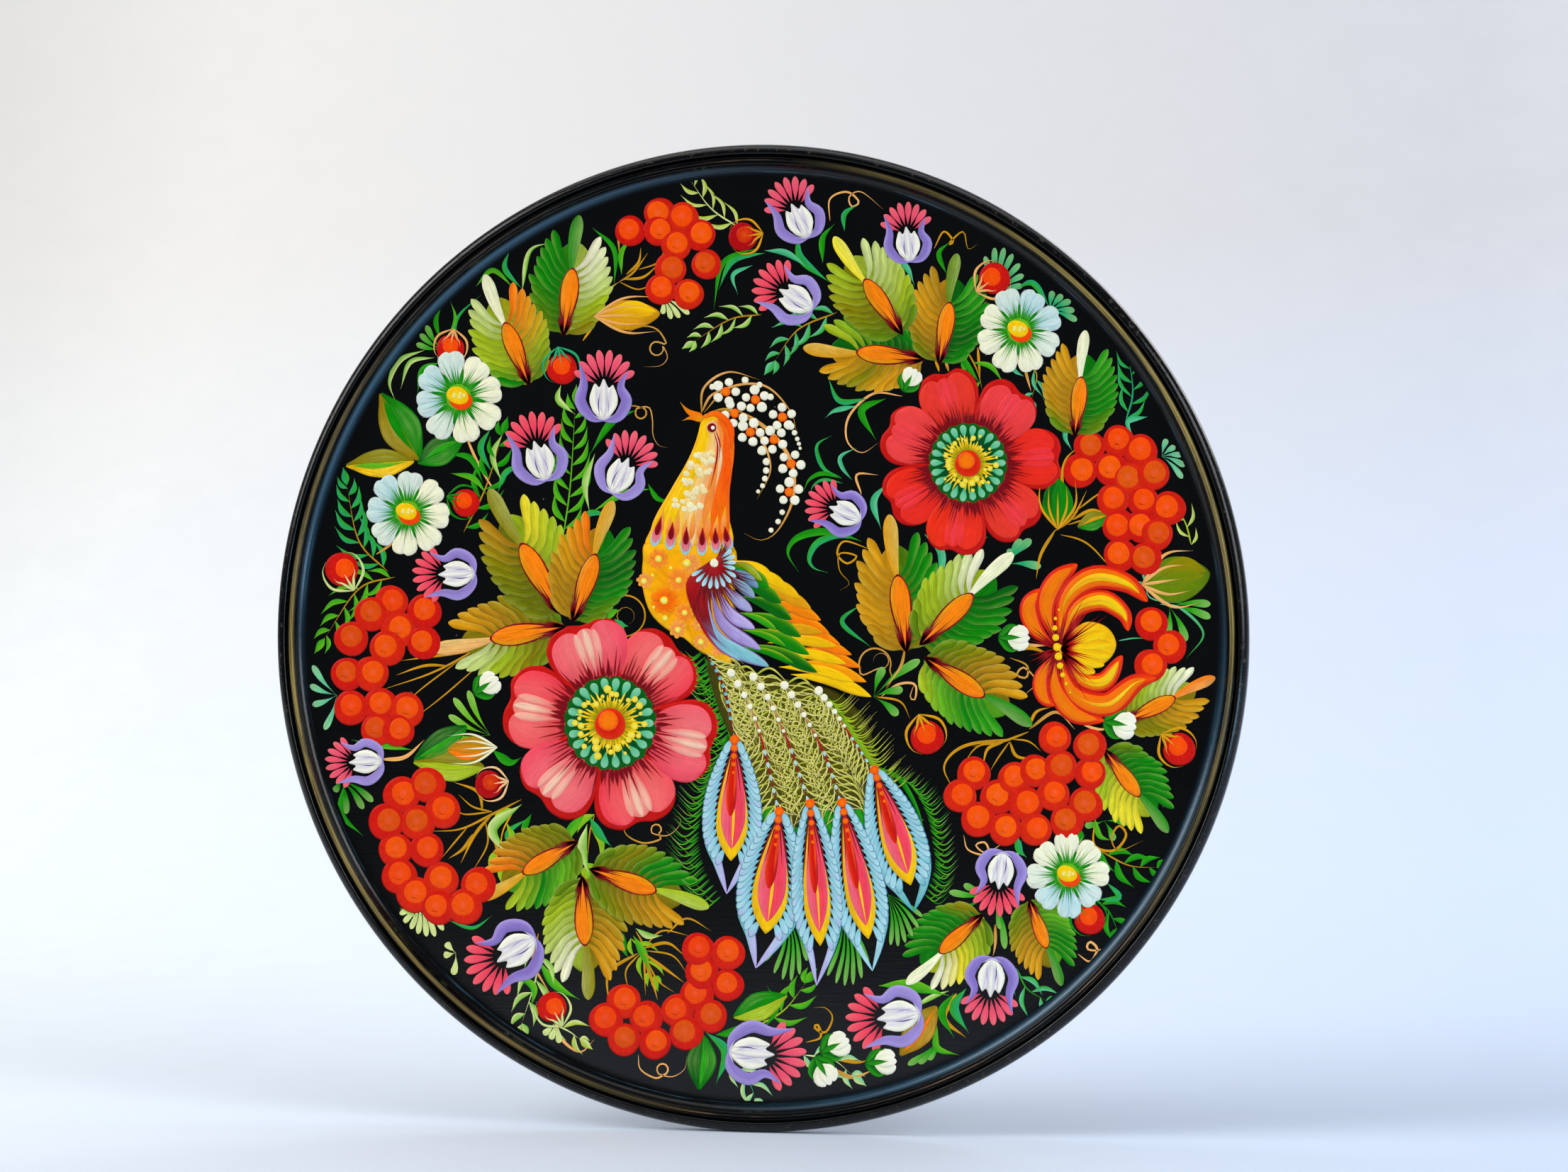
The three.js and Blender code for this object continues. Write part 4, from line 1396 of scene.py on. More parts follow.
@motif(FEATHER_PAINT)
def tail_lace():
    """The tail's veil: curved lime barbs that cross like lace between five beaded spines."""
    floor = [(-24, -8), (-8, -13), (14, -18), (30, -22), (42, -34), (46, -52), (40, -70), (30, -66),
             (20, -72), (13, -78), (5, -70), (-5, -66), (-12, -46), (-20, -28)]
    shade = mix(OLIVE, BLACK, 0.64)
    patch(closed_curve(floor, 84), outward(shade, shade, mix(shade, BLACK, 0.5)), 0, dome=0.2)
    straw = mix(PALE_LIME, YELLOW, 0.45)
    light_straw = mix(straw, CREAM, 0.25)
    for spine, side in [(s, 1) for s in TAIL_SPINES[:4]] + [(s, -1) for s in TAIL_SPINES[1:]]:
        barbs(spine, side, 19, 15, 0.5, along(mix(LIME, OLIVE, 0.2), mix(LIME, straw, 0.6), straw), 0.8, 78,
              0)
        barbs(spine, side, 16, 14, 0.34, along(mix(LIME, straw, 0.6), light_straw), 1.6, 50, 38)
        barbs(spine, side, 11, 15, 0.3, light_straw, 2.2, 24, 70)
    fringe(TAIL_SPINES[4], 1, 26, 16, 0.4, along(GRASS, LIME, straw), 2.6)
    fringe(TAIL_SPINES[4], 1, 17, 11, 0.34, along(LEAF, LIME), 2.2)
    for spine in TAIL_SPINES[1:]:
        path = smooth_path(spine, 24)
        stroke(spine, 0.6, along(mix(LIME, CREAM, 0.4), CRIMSON, WINE), 3.2, 0.5, 0.8, 1.0)
        for i in range(6):
            dot(*path[2 * i], 2.0 - 0.22 * i, outward(WHITE, CREAM), 4.4, dome=3.0)
        for i in range(13, 22, 2):
            stroke([path[i], path[i + 1]], 0.8, along(SKY, PALE_BLUE), 4, 0.5, 0.7, 0.7)
    path = smooth_path(TAIL_SPINES[0], 24)
    stroke(TAIL_SPINES[0], 0.7, WINE, 3.4)
    for i in range(3, 18, 2):
        stroke([path[i], path[i + 1]], 0.9, along(TEAL, SKY), 4, 0.5, 0.7, 0.7)


@motif(FEATHER_PAINT)
def tail_fringe():
    """Green hairs along the tail's two edges and green down between its feathers."""
    left = [(-26, -6), (-20, -17), (-15.4, -31), (-15, -43), (-20.5, -56), (-25, -70), (-27, -82),
            (-24, -95), (-18, -105)]
    right = [(46, -52), (54, -55), (61, -61), (66.5, -71), (69, -82), (70, -93), (66, -104)]
    for path, side, reach, count in ((left, -1, 13.5, 42), (right, 1, 10, 30)):
        fringe(path, side, count, reach, 0.3, along(DARK_GREEN, GREEN, LEAF), 0.5)
        fringe(path, side, count - 3, 0.95 * reach, 0.27, along(LEAF, GRASS, mix(GRASS, PALE_LIME, 0.7)),
               1.1)
        fringe(path, side, count // 2, 0.5 * reach, 0.34, along(GREEN, LEAF, LIME), 1.6)
    fringe(TAIL_SPINES[0], -1, 20, 11, 0.34, along(DARK_GREEN, LEAF, GRASS), 1.9)
    stroke([(-25, -8), (-19, -20), (-15, -32), (-14, -44)], 1.6, across(LEAF, GREEN, LEAF), 0.8, 0.6)
    stroke([(46, -52), (56, -58), (63, -70), (67, -84)], 1.1, across(LEAF, GREEN, DARK_GREEN), 0.8, 0.3,
           1.0, 1.6)
    for root, tip in (((4, -62), (-1, -80)), ((9, -63), (14, -87)), ((18, -64), (14, -90)),
                      ((23, -64), (30, -88)),
                      ((31, -62), (29, -88)), ((35, -62), (43, -82)), ((44, -52), (41, -76))):
        stroke([root, mix(np.array(root), np.array(tip), 0.5), tip], 2.4, across(GREEN, LEAF, GREEN), 2,
               0.4)


def eye_width(share):
    """Half width of an eye feather's eye, relative to its widest, at a share of its length."""
    return width_at(min(max(share, 0.0), 1.0), 0.7, 1.05, 0.8)


@motif(FEATHER_PAINT)
def eye_feather(root, tip, point, width, veil):
    """A long feather: a yellow, pink and red eye in a scalloped blue veil that meets in a point below it."""
    at = frame_of(root, tip, width)
    pale, deep = mix(SKY, WHITE, 0.2), mix(mix(TEAL, PURPLE, 0.3), BLACK, 0.15)
    for side in (1, -1):
        band = [at(0.1, 0.4 * side), at(0.42, 1.15 * side), at(0.8, 1.36 * side), at(1.03, 0.78 * side),
                point]
        stroke(band, 0.32 * width, across(*((mix(SKY, TEAL, 0.6), SKY, veil)[::side])), 0, 0.6, 0.9, 0.7)
        stroke(band[2:], 0.22 * width, along(SKY, mix(pale, veil, 0.5), veil), 0.8, 0.4, 1.0, 0.7)
        count = 18
        for i in range(count):
            share = 1 - i / (count - 1)
            a = 0.02 + 0.93 * share
            inner = 0.8 * eye_width(a) * side
            outer = (0.9 * eye_width(a) + 0.52 + 0.42 * math.sin(math.pi * share ** 0.8)) * side
            start, end = at(a - 0.07, inner), at(a + 0.075 + 0.02 * share, outer)
            tone = mix(pale, veil, 0.75 * share * (i % 3 == 0))
            layer = 1.4 + 5.0 * (1 - share)
            drop(start, end, 0.24 * width, deep, layer, 0.06 * side)
            drop(start, mix(np.array(end), np.array(start), 0.035), 0.215 * width,
                 along(mix(TEAL, SKY, 0.3), SKY, tone), layer + 0.14, 0.06 * side)
    stroke([root, at(0.5, 0), tip], width, across(YELLOW, YELLOW, mix(YELLOW, AMBER, 0.4)), 7, 0.7, 1.05,
           0.8)
    stroke([at(0.02, 0.06), at(0.5, 0.07), at(0.9, 0.02)], 0.82 * width,
           across(PINK, ROSE, PINK, mix(PINK, CORAL, 0.5)), 7.6, 0.68, 1.05, 0.75)
    stroke([at(0.5, 0.1), at(0.92, 0.06)], 0.11 * width, YELLOW, 8.2, 0.35, 0.8, 1.3)
    stroke([at(0.02, -0.02), at(0.3, -0.06), at(0.62, -0.1)], 0.34 * width,
           across(CRIMSON, RED, RED, VERMILION), 8.8,
           0.72, 0.9, 0.5)
    stroke([at(0.1, 0.12), at(0.5, 0.08)], 0.1 * width, mix(RED, VERMILION, 0.8), 9.2, 0.5, 1.2, 1.2)
    for side in (1, -1):
        line([root, at(0.25, 0.5 * side), at(0.58, 0.98 * side)], 0.45, WINE, 9.6)
        line([root, at(0.2, 0.24 * side), at(0.44, 0.5 * side)], 0.35, WINE, 9.6)
    for k in range(5):
        dot(*at(-0.03 + 0.07 * k, 0), 2.1 - 0.32 * k, outward(ORANGE, VERMILION), 10.2, dome=3.0)


def bird():
    """The crested bird in the middle, from its tail up to its crest."""
    tail_fringe("tail_fringe", level=8)
    tail_lace("tail_lace", level=26)
    feathers = (
        ((-12.3, -43), (-13.8, -90.5), (-15.5, -104), 6.9, LILAC, 30),
        ((6, -72), (0.5, -120), (-3.5, -134), 7.8, LILAC, 27),
        ((19, -69), (23, -124.8), (21.5, -141), 5.8, LILAC, 31),
        ((32.3, -68.5), (42.8, -122), (44.5, -135), 6.2, SKY, 29),
        ((45.8, -55), (60.2, -100.2), (61.5, -111), 6.8, TEAL, 27),
    )
    for i, (root, tip, point, width, veil, level) in enumerate(feathers):
        eye_feather(f"eye_feather_{i + 1}", root, tip, point, width, veil, level=level)
    down = (
        ((10, -112), [(0.5, -131), (4, -136), (7.5, -138.5), (11, -139), (14.5, -136.5), (17.5, -131)]),
        ((33, -112), [(26, -137), (29.5, -140), (33, -141), (36.5, -140.5), (40, -138), (43, -133)]),
        ((51, -104), [(52, -124.5), (55, -125), (58, -123.5), (61, -121), (63.5, -117.5), (65, -113)]),
    )
    for i, (base, tips) in enumerate(down):
        drop_fan(f"green_down_{i + 1}", base, tips, 0.95, LEAF, level=25)
    bird_neck("bird_neck", level=22)
    bird_breast("bird_breast", level=26)
    bird_wing("bird_wing", level=26)
    bird_crest("bird_crest", level=20)


# The garland round the bird -------------------------------


def great_flowers():
    """The pink flower below on the left and the red one above on the right."""
    great_flower("pink_flower", -63.5, -35, 43.5, 19.5, (ROSE, mix(ROSE, PINK, 0.5)),
                 mix(CREAM, CORAL, 0.25), 0.36, 6, 48, level=10)
    poppy = [linear(tone) for tone in ("ee2a14", "f0403e", "ea3826", "f0443f", "ee2a14", "f2300f",
                                       "ea3826")]
    great_flower("red_flower", 84, 71, 38, 16.6, poppy, ROSE, 0.25, 7, 3, level=16)


def daisies():
    """Each row is the name, the place, the radius, the side that is blue and the first petal's angle."""
    for name, x, z, radius, cool, tilt in (
        ("daisy_upper_left", -126, 97, 19, 165, 12),
        ("daisy_left", -147, 50, 18, 150, -5),
        ("daisy_upper_right", 105, 125, 18, 50, 20),
        ("daisy_lower_right", 125, -96, 17.5, 262, 2),
    ):
        daisy(name, x, z, radius, cool, tilt, level=15)


def tulips():
    """Each row is a tulip's place, the way it points and its size."""
    rows = ((-66.5, 87.5, 90, 1.0), (-90, 63, 108, 1.0), (-63, 58, 65, 0.95), (40, 47.5, 158, 0.85),
            (18, 162, 117, 0.92), (20, 133, 150, 0.95), (60, 152.5, 97, 0.85), (-119, 25.5, 183, 0.9),
            (-157, -50.5, 184, 0.82), (-94, -122, 212, 1.1), (-15, -167.5, -4, 1.12),
            (64.5, -152, 189, 1.08), (94, -129.5, 267, 0.95), (98.5, -86.5, 263, 0.92))
    for i, (x, z, degrees, size) in enumerate(rows):
        side = mix(PURPLE, LILAC, 0.35 * (i % 3) / 2)
        tulip(f"tulip_{i + 1}", x, z, degrees, size, side, mix(PINK, ROSE, 0.5 * (i % 2)), level=14)


def curled_flower():
    """The orange flower on the right."""
    petals = (
        ([(120, -4), (111.5, 4), (109, 13), (114, 20)], 4.0, 0),
        ([(120.5, -3), (116, 12), (120, 23), (129, 30)], 4.4, 0),
        ([(121, -4), (124, 15), (135, 24.4), (149, 22.5), (158, 15)], 5.0, 0.8),
        ([(121.5, -4), (128, 11), (139, 15.5), (148, 10), (150, 3)], 4.4, 1.2),
        ([(121.5, -6), (130, -16), (140, -17.5), (147.5, -7)], 4.0, 1.1),
        ([(121, -5), (127, -22), (141, -27), (153, -18), (161.5, -16)], 5.2, 0.3),
        ([(120, -6), (114, -16), (115, -24), (119.5, -27.5)], 3.4, 0),
        ([(120, -5), (120, -20), (127.5, -30.5), (140, -33.5)], 4.0, 0),
    )
    ball = [(122, -2), (127, 3.6), (133.7, 6.8), (141.3, 4.5), (145, -1.5), (143.5, -7), (138.5, -11),
            (131, -11), (125, -7)]
    beads = [(121.4, 11.5), (119.7, 6), (120.8, -4.6), (122.6, -14), (126, -22)]
    chrysanthemum("curled_flower", 121, -4.4, petals, ball, beads, level=14)


def buds():
    """White buds, each by its place, the way it points and its size, and four closed buds."""
    white = ((-114.5, -20, 35, 5.2), (60, 104.5, 60, 4.6), (103, 0, 0, 5.6), (146.5, -35, -10, 6.0),
             (29, -165.5, 25, 5.6), (24, -175.5, -60, 5.6), (48, -172, 5, 5.6))
    for i, (x, z, degrees, size) in enumerate(white):
        white_bud(f"white_bud_{i + 1}", x, z, degrees, size, level=15)
    closed_bud("yellow_bud", (-69, 130), (-43, 131), 6.2, AMBER, YELLOW, PEACH, level=9)
    closed_bud("green_bud", (121, 45), (121, 65), 6.4, GREEN, DARK_GREEN, AMBER, level=9)
    closed_bud("olive_bud", (157, 22), (184, 26), 9.5, mix(OLIVE, GREEN, 0.5), OLIVE, PEACH, 0.55, level=9)
    closed_bud("orange_bud", (-111, -45), (-131, -46), 5.0, OCHRE, ORANGE, CREAM, level=9)


def fruit():
    """The bunches of berries."""
    round_top = [
        (-56, 165.5), (-44, 172.5), (-34, 171), (-43, 165.5), (-26, 164), (-36, 160), (-38, 150),
        (-24.5, 152), (-42.5, 142), (-31, 140),
    ]
    left = [
        (-153, 14.5), (-162, 10), (-140, 11), (-150, 3.5), (-170, 0), (-156, -4), (-141, -2), (-172, -14.5),
        (-161, -14.5), (-170, -28), (-158, -27), (-147, -29), (-160, -37), (-150, -37.5),
    ]
    low_left = [
        (-148.5, -63.5), (-139.5, -59.5), (-132, -69.5), (-154.5, -74.5), (-143, -74.5), (-151.5, -85.5),
        (-138.5, -85.5), (-150, -96), (-133, -97.5), (-143.5, -103.5), (-118.5, -100), (-135, -109),
        (-124, -108.5),
    ]
    bottom = [
        (-57.5, -146.5), (-65.5, -154), (-49.5, -153.5), (-57.5, -162), (-44.5, -163.5), (-28.5, -144),
        (-36.5, -150.5), (-22, -152.5), (-33, -159.5), (-26, -135), (-15.5, -140), (-27, -125.5),
        (-15, -127),
    ]
    low_right = [
        (86.5, -54), (81.5, -63.5), (96, -63.5), (88, -72.5), (99.5, -76.5), (103, -56), (112, -53),
        (122.5, -51.5), (135, -54), (108.5, -66.5), (119.5, -62.5), (132, -66.5), (112.5, -77),
        (124, -73.5), (133.5, -43), (120.5, -40),
    ]
    right = [
        (134.5, 78.5), (146, 81), (155, 77), (131, 68.5), (142.5, 69.5), (150, 65.5), (161, 67.5),
        (144, 57), (156.5, 56.5), (166, 53.5), (145.5, 46), (155, 46), (162.5, 43), (146, 34.5),
        (156.5, 33),
    ]
    berries("berries_top", round_top, 6.4, 0.74, level=10)
    deep = mix(VERMILION, RED, 0.3)
    berries("berries_left", left, 7.2, 0.68, glow=deep, level=10)
    berries("berries_lower_left", low_left, 7.4, 0.68, glow=deep, level=10)
    berries("berries_bottom", bottom, 7.0, 0.7, glow=deep, level=10)
    berries("berries_lower_right", low_right, 7.1, 0.7, level=10)
    berries("berries_right", right, 6.9, 0.72, level=10)
    berries("berries_far_right", [(159.5, 7), (166.5, -2.5), (160, -10.5)], 7.0, 0.7, level=10)


def single_berries():
    """Each row is a berry's place and radius, the side that its sepals come from, and their colour."""
    single = (
        (-9, 162.5, 6.0, 10, AMBER),
        (-83.5, 108.5, 6.4, 100, JADE),
        (-129.5, 116.5, 5.8, 80, PEACH),
        (-123, 54, 5.8, 160, GREEN),
        (-174, 27, 7.0, -60, PALE_LIME),
        (-87.5, -150, 6.2, -60, PALE_LIME),
        (67, -40.5, 7.0, 110, AMBER),
        (171, -45, 6.8, 140, AMBER),
        (134, -114, 6.4, 130, GREEN),
        (95, 146, 6.6, 215, PEACH),
        (-113.5, -60, 5.8, 10, SKIN),
    )
    for i, (x, z, radius, degrees, cup) in enumerate(single):
        dark = i in (0, 10)
        cupped_berry(f"berry_{i + 1}", x, z, radius, degrees, cup, CRIMSON if dark else RED,
                     mix(VERMILION, CRIMSON, 0.6) if dark else VERMILION, level=12)


def comb_leaves():
    """Each row is base, tip, half width, the two halves' colours from base to tip, and the crest's colour."""
    dull_green, dark_olive = mix(GREEN, OLIVE, 0.45), mix(OLIVE, DARK_GREEN, 0.35)
    gold, bright = mix(OCHRE, AMBER, 0.4), mix(LIME, PALE_LIME, 0.4)
    rows = (
        ((-83, 122), (-76, 171), 16, (dull_green, GREEN, GREEN), (OLIVE, LIME, PALE_LIME, CREAM), GREEN),
        ((-97, 102), (-115, 147), 15, (GREEN, LIME, LIME, PALE_LIME),
         (dull_green, mix(LIME, OLIVE, 0.3), AMBER, ORANGE), CREAM),
        ((57, 123), (29, 163), 15.5, (dull_green, OLIVE, LIME), (dull_green, LIME, bright, PALE_LIME),
         LEMON),
        ((66, 113), (16, 118), 15, (OCHRE, AMBER, OLIVE, AMBER), (GREEN, DARK_GREEN, GREEN, LIME), AMBER),
        ((72, 111), (80, 156), 15.5, (dark_olive, OCHRE, AMBER, OCHRE), (GREEN, DARK_GREEN, GREEN, LEAF),
         dull_green),
        ((128, 82), (133, 125), 15, (dull_green, gold, gold, AMBER), (dull_green, GREEN, GREEN, LEAF),
         CREAM),
        ((58.5, -6), (52, 50), 17, (OCHRE, AMBER, gold, AMBER), (OLIVE, dull_green, GREEN, GREEN), AMBER),
        ((64, -3), (103, 34), 17, (dull_green, LIME, LIME, bright, CREAM),
         (dull_green, GREEN, GREEN, DARK_GREEN), CREAM),
        ((66, -8), (110, -36), 16, (dull_green, OLIVE, OCHRE, AMBER), (LIME, GRASS, GREEN, LEAF), GREEN),
        ((-82, 4), (-137, -5), 15, (dull_green, OLIVE, LIME, PALE_LIME), (dull_green, OLIVE, OCHRE, AMBER),
         PEACH),
        ((-84, 9), (-113, 60), 17, (dark_olive, dark_olive, OLIVE, OCHRE), (dull_green, LIME, LIME, LEMON),
         OLIVE),
        ((-79, 6), (-62, 55), 16, (OCHRE, OCHRE, AMBER, ORANGE), (dull_green, GREEN, DARK_GREEN, GREEN),
         AMBER),
        ((-77, -83), (-117, -106), 15, (dull_green, GRASS, GREEN, LIME), (dark_olive, OLIVE, OCHRE, ORANGE),
         AMBER),
        ((-75, -97), (-73, -147), 16, (OLIVE, OLIVE, gold, AMBER), (dull_green, LIME, bright, CREAM),
         OLIVE),
        ((-72, -94), (-23, -110), 15, (dull_green, OLIVE, GREEN, GREEN), (dull_green, OLIVE, OCHRE, AMBER),
         LIME),
        ((148, -34), (186, -16), 12, (OLIVE, LIME, bright, CREAM), (OLIVE, OLIVE, gold, AMBER), ORANGE),
        ((140, -45), (166, -79), 14, (dull_green, GREEN, GREEN, GREEN), (LIME, LIME, LEMON, LEMON), GREEN),
        ((109, -106), (122, -141), 13, (dull_green, GRASS, GREEN, GREEN), (dull_green, OLIVE, gold, AMBER),
         GREEN),
        ((90, -112), (58, -140), 15, (dull_green, LIME, LEMON, CREAM), (OLIVE, GREEN, GREEN, GREEN), CREAM),
    )
    for i, row in enumerate(rows):
        comb_leaf(f"comb_leaf_{i + 1}", *row, level=3 + 2.7 * (i % 3))


def plain_leaves():
    """Each row is base, tip, half width, the two halves' colours and the middle stroke's."""
    rows = (
        ((-142, 71), (-158, 98), 8.5, mix(OLIVE, OCHRE, 0.3), GREEN, GREEN),
        ((-144, 71), (-172, 69), 6.0, YELLOW, OLIVE, GRASS),
        ((-143, 70), (-124, 80), 6.0, DARK_GREEN, GREEN, LEAF),
        ((-115, -53), (-144, -51), 7.0, LIME, OLIVE, LIME),
        ((-122, -36), (-144, -50), 5.2, GREEN, DARK_GREEN, LEAF),
        ((-13, -154), (9, -145), 6.0, GREEN, LIME, GREEN),
        ((-25, -161), (-27, -183), 6.4, GREEN, DARK_GREEN, LEAF),
        ((71, -149), (56, -169), 6.4, OCHRE, mix(OLIVE, OCHRE, 0.5), ORANGE),
        ((129, 45), (142, 50), 4.0, OLIVE, GREEN, AMBER),
    )
    for i, row in enumerate(rows):
        plain_leaf(f"plain_leaf_{i + 1}", *row, level=3)


def sprigs():
    """Feathery stems that fill the black between the flowers. Each row is the stem, its pairs of leaves,
    their length and half width, the leaves' colours and the stem's."""
    fresh, cool, pale, dark = (GRASS, LEAF), (JADE, LEAF), (PALE_LIME, LIME), (LEAF, GREEN)
    rows = (
        ([(-83, 40), (-80, 62), (-78, 94)], 8, 11, 1.7, fresh, GRASS),
        ([(-10, 166), (-22, 174), (-31, 186)], 5, 10, 1.3, pale, PALE_LIME),
        ([(-155, 26), (-167, 38.5), (-172, 61)], 7, 10, 1.7, cool, OCHRE),
        ([(-152, 24), (-167, 19), (-181, -1)], 6, 10, 1.6, fresh, OCHRE),
        ([(-124, 42), (-115, 60), (-108, 82)], 5, 10, 1.6, dark, OCHRE),
        ([(149, 88), (152, 100), (150, 116)], 5, 10, 1.3, cool, JADE),
        ([(30, 132), (14, 125), (4, 112)], 5, 9.5, 1.7, (LEAF, MINT), OCHRE),
        ([(-1, 131), (-14, 129), (-29, 120)], 5, 8, 1.4, (GRASS, PALE_LIME), OCHRE),
        ([(138, -86), (150, -92), (162, -93)], 4, 9, 2.0, dark, OCHRE),
        ([(136, -106), (142, -111), (146, -120)], 3, 9, 1.7, dark, GREEN),
        ([(-4, -158), (8, -151), (17, -140)], 4, 10, 1.9, fresh, LIME),
        ([(-93, -124), (-94, -138), (-100, -157)], 4, 11, 1.9, (GRASS, PALE_LIME), PALE_LIME),
        ([(-86, -157), (-80, -160), (-76, -163)], 2, 9, 1.6, pale, PALE_LIME),
        ([(-13, -173), (-6, -181), (-4, -187)], 3, 9, 1.5, (MINT, PALE_LIME), JADE),
        ([(16, -169), (28, -171), (36, -177)], 3, 10, 1.7, (MINT, PALE_LIME), PALE_LIME),
        ([(104, -134), (108, -142), (116, -147)], 3, 10, 1.5, (LEAF, MINT), LEAF),
        ([(-55, -122), (-50, -128), (-46, -138)], 3, 8, 1.6, (GRASS, LIME), LIME),
        ([(-103, -70), (-108, -80), (-108, -92)], 2, 12, 2.0, (GRASS, LIME), AMBER),
        ([(176, 38), (174, 46), (170, 54)], 3, 7, 1.2, pale, LIME),
        ([(102, 112), (112, 108), (110, 96)], 3, 8, 1.2, (JADE, MINT), OCHRE),
        ([(84, 116), (88, 108), (90, 100)], 2, 11, 1.6, (GRASS, LEAF), OCHRE),
        ([(-70, -72), (-72, -80), (-73, -92)], 2, 12, 2.2, (GRASS, LIME), OCHRE),
    )
    for i, row in enumerate(rows):
        sprig(f"sprig_{i + 1}", *row, level=0.5)


def drop_fans():
    """Each row is the point the drops fan out from, their tips, their half width and their colour."""
    fans = (
        ((-142, -107), [(-150, -112.5), (-148.5, -116), (-145.5, -118.5), (-142.5, -120.5), (-139, -121.5),
                        (-135.5, -121.5), (-132, -119)], 1.25, PALE_LIME),
        ((164, 74), [(166, 81), (169.5, 78), (172.5, 74.5), (173.5, 70), (172.5, 65)], 1.3, MINT),
        ((97, 141), [(91, 155), (95, 158.5), (99, 158.5), (102.5, 156), (105.5, 152), (107, 147.5),
                     (106.5, 143)], 1.3, JADE),
        ((118, 133), [(119, 141), (123, 139.5), (126.5, 137), (128, 133), (129, 129)], 1.4, JADE),
        ((167, 13), [(184, 14), (184, 8.5), (174, -1), (166, 1)], 1.7, LEAF),
        ((-113, -40), [(-130, -32), (-128, -25), (-122, -22), (-136, -40)], 1.5, GRASS),
        ((-174, -58), [(-172, -72), (-165, -70), (-161, -67), (-177, -63)], 1.5, GREEN),
        ((-176, -24), [(-186, -12), (-187, -20), (-186, -28), (-181, -38)], 1.4, MINT),
        ((-42, 138), [(-42, 131), (-38.5, 129), (-35, 129.5), (-31, 131)], 1.2, PALE_LIME),
        ((-127, -128), [(-131, -124), (-132, -129), (-128, -137)], 1.5, PALE_LIME),
        ((72, -163), [(59, -173), (63.5, -172.5), (67.5, -171)], 1.4, LEAF),
        ((-133, 116), [(-143.5, 118.5), (-142, 122.5), (-139.5, 126)], 1.3, LEAF),
        ((-86, -156), [(-91, -161), (-88, -163), (-84.5, -164.5)], 1.4, PALE_LIME),
        ((45, -24), [(49, -12), (57, -21), (55, -31.5), (64, -9)], 1.9, LEAF),
        ((100, 30), [(102, 36), (106, 40), (110, 40), (114, 29)], 1.8, JADE),
        ((140, -74), [(132, -76), (144, -82), (150, -75)], 1.5, LEAF),
        ((94, -104), [(82, -100), (76, -103), (70, -112), (97, -118), (99, -126)], 1.5, LEAF),
    )
    for i, fan in enumerate(fans):
        drop_fan(f"drop_fan_{i + 1}", *fan, level=0.8)


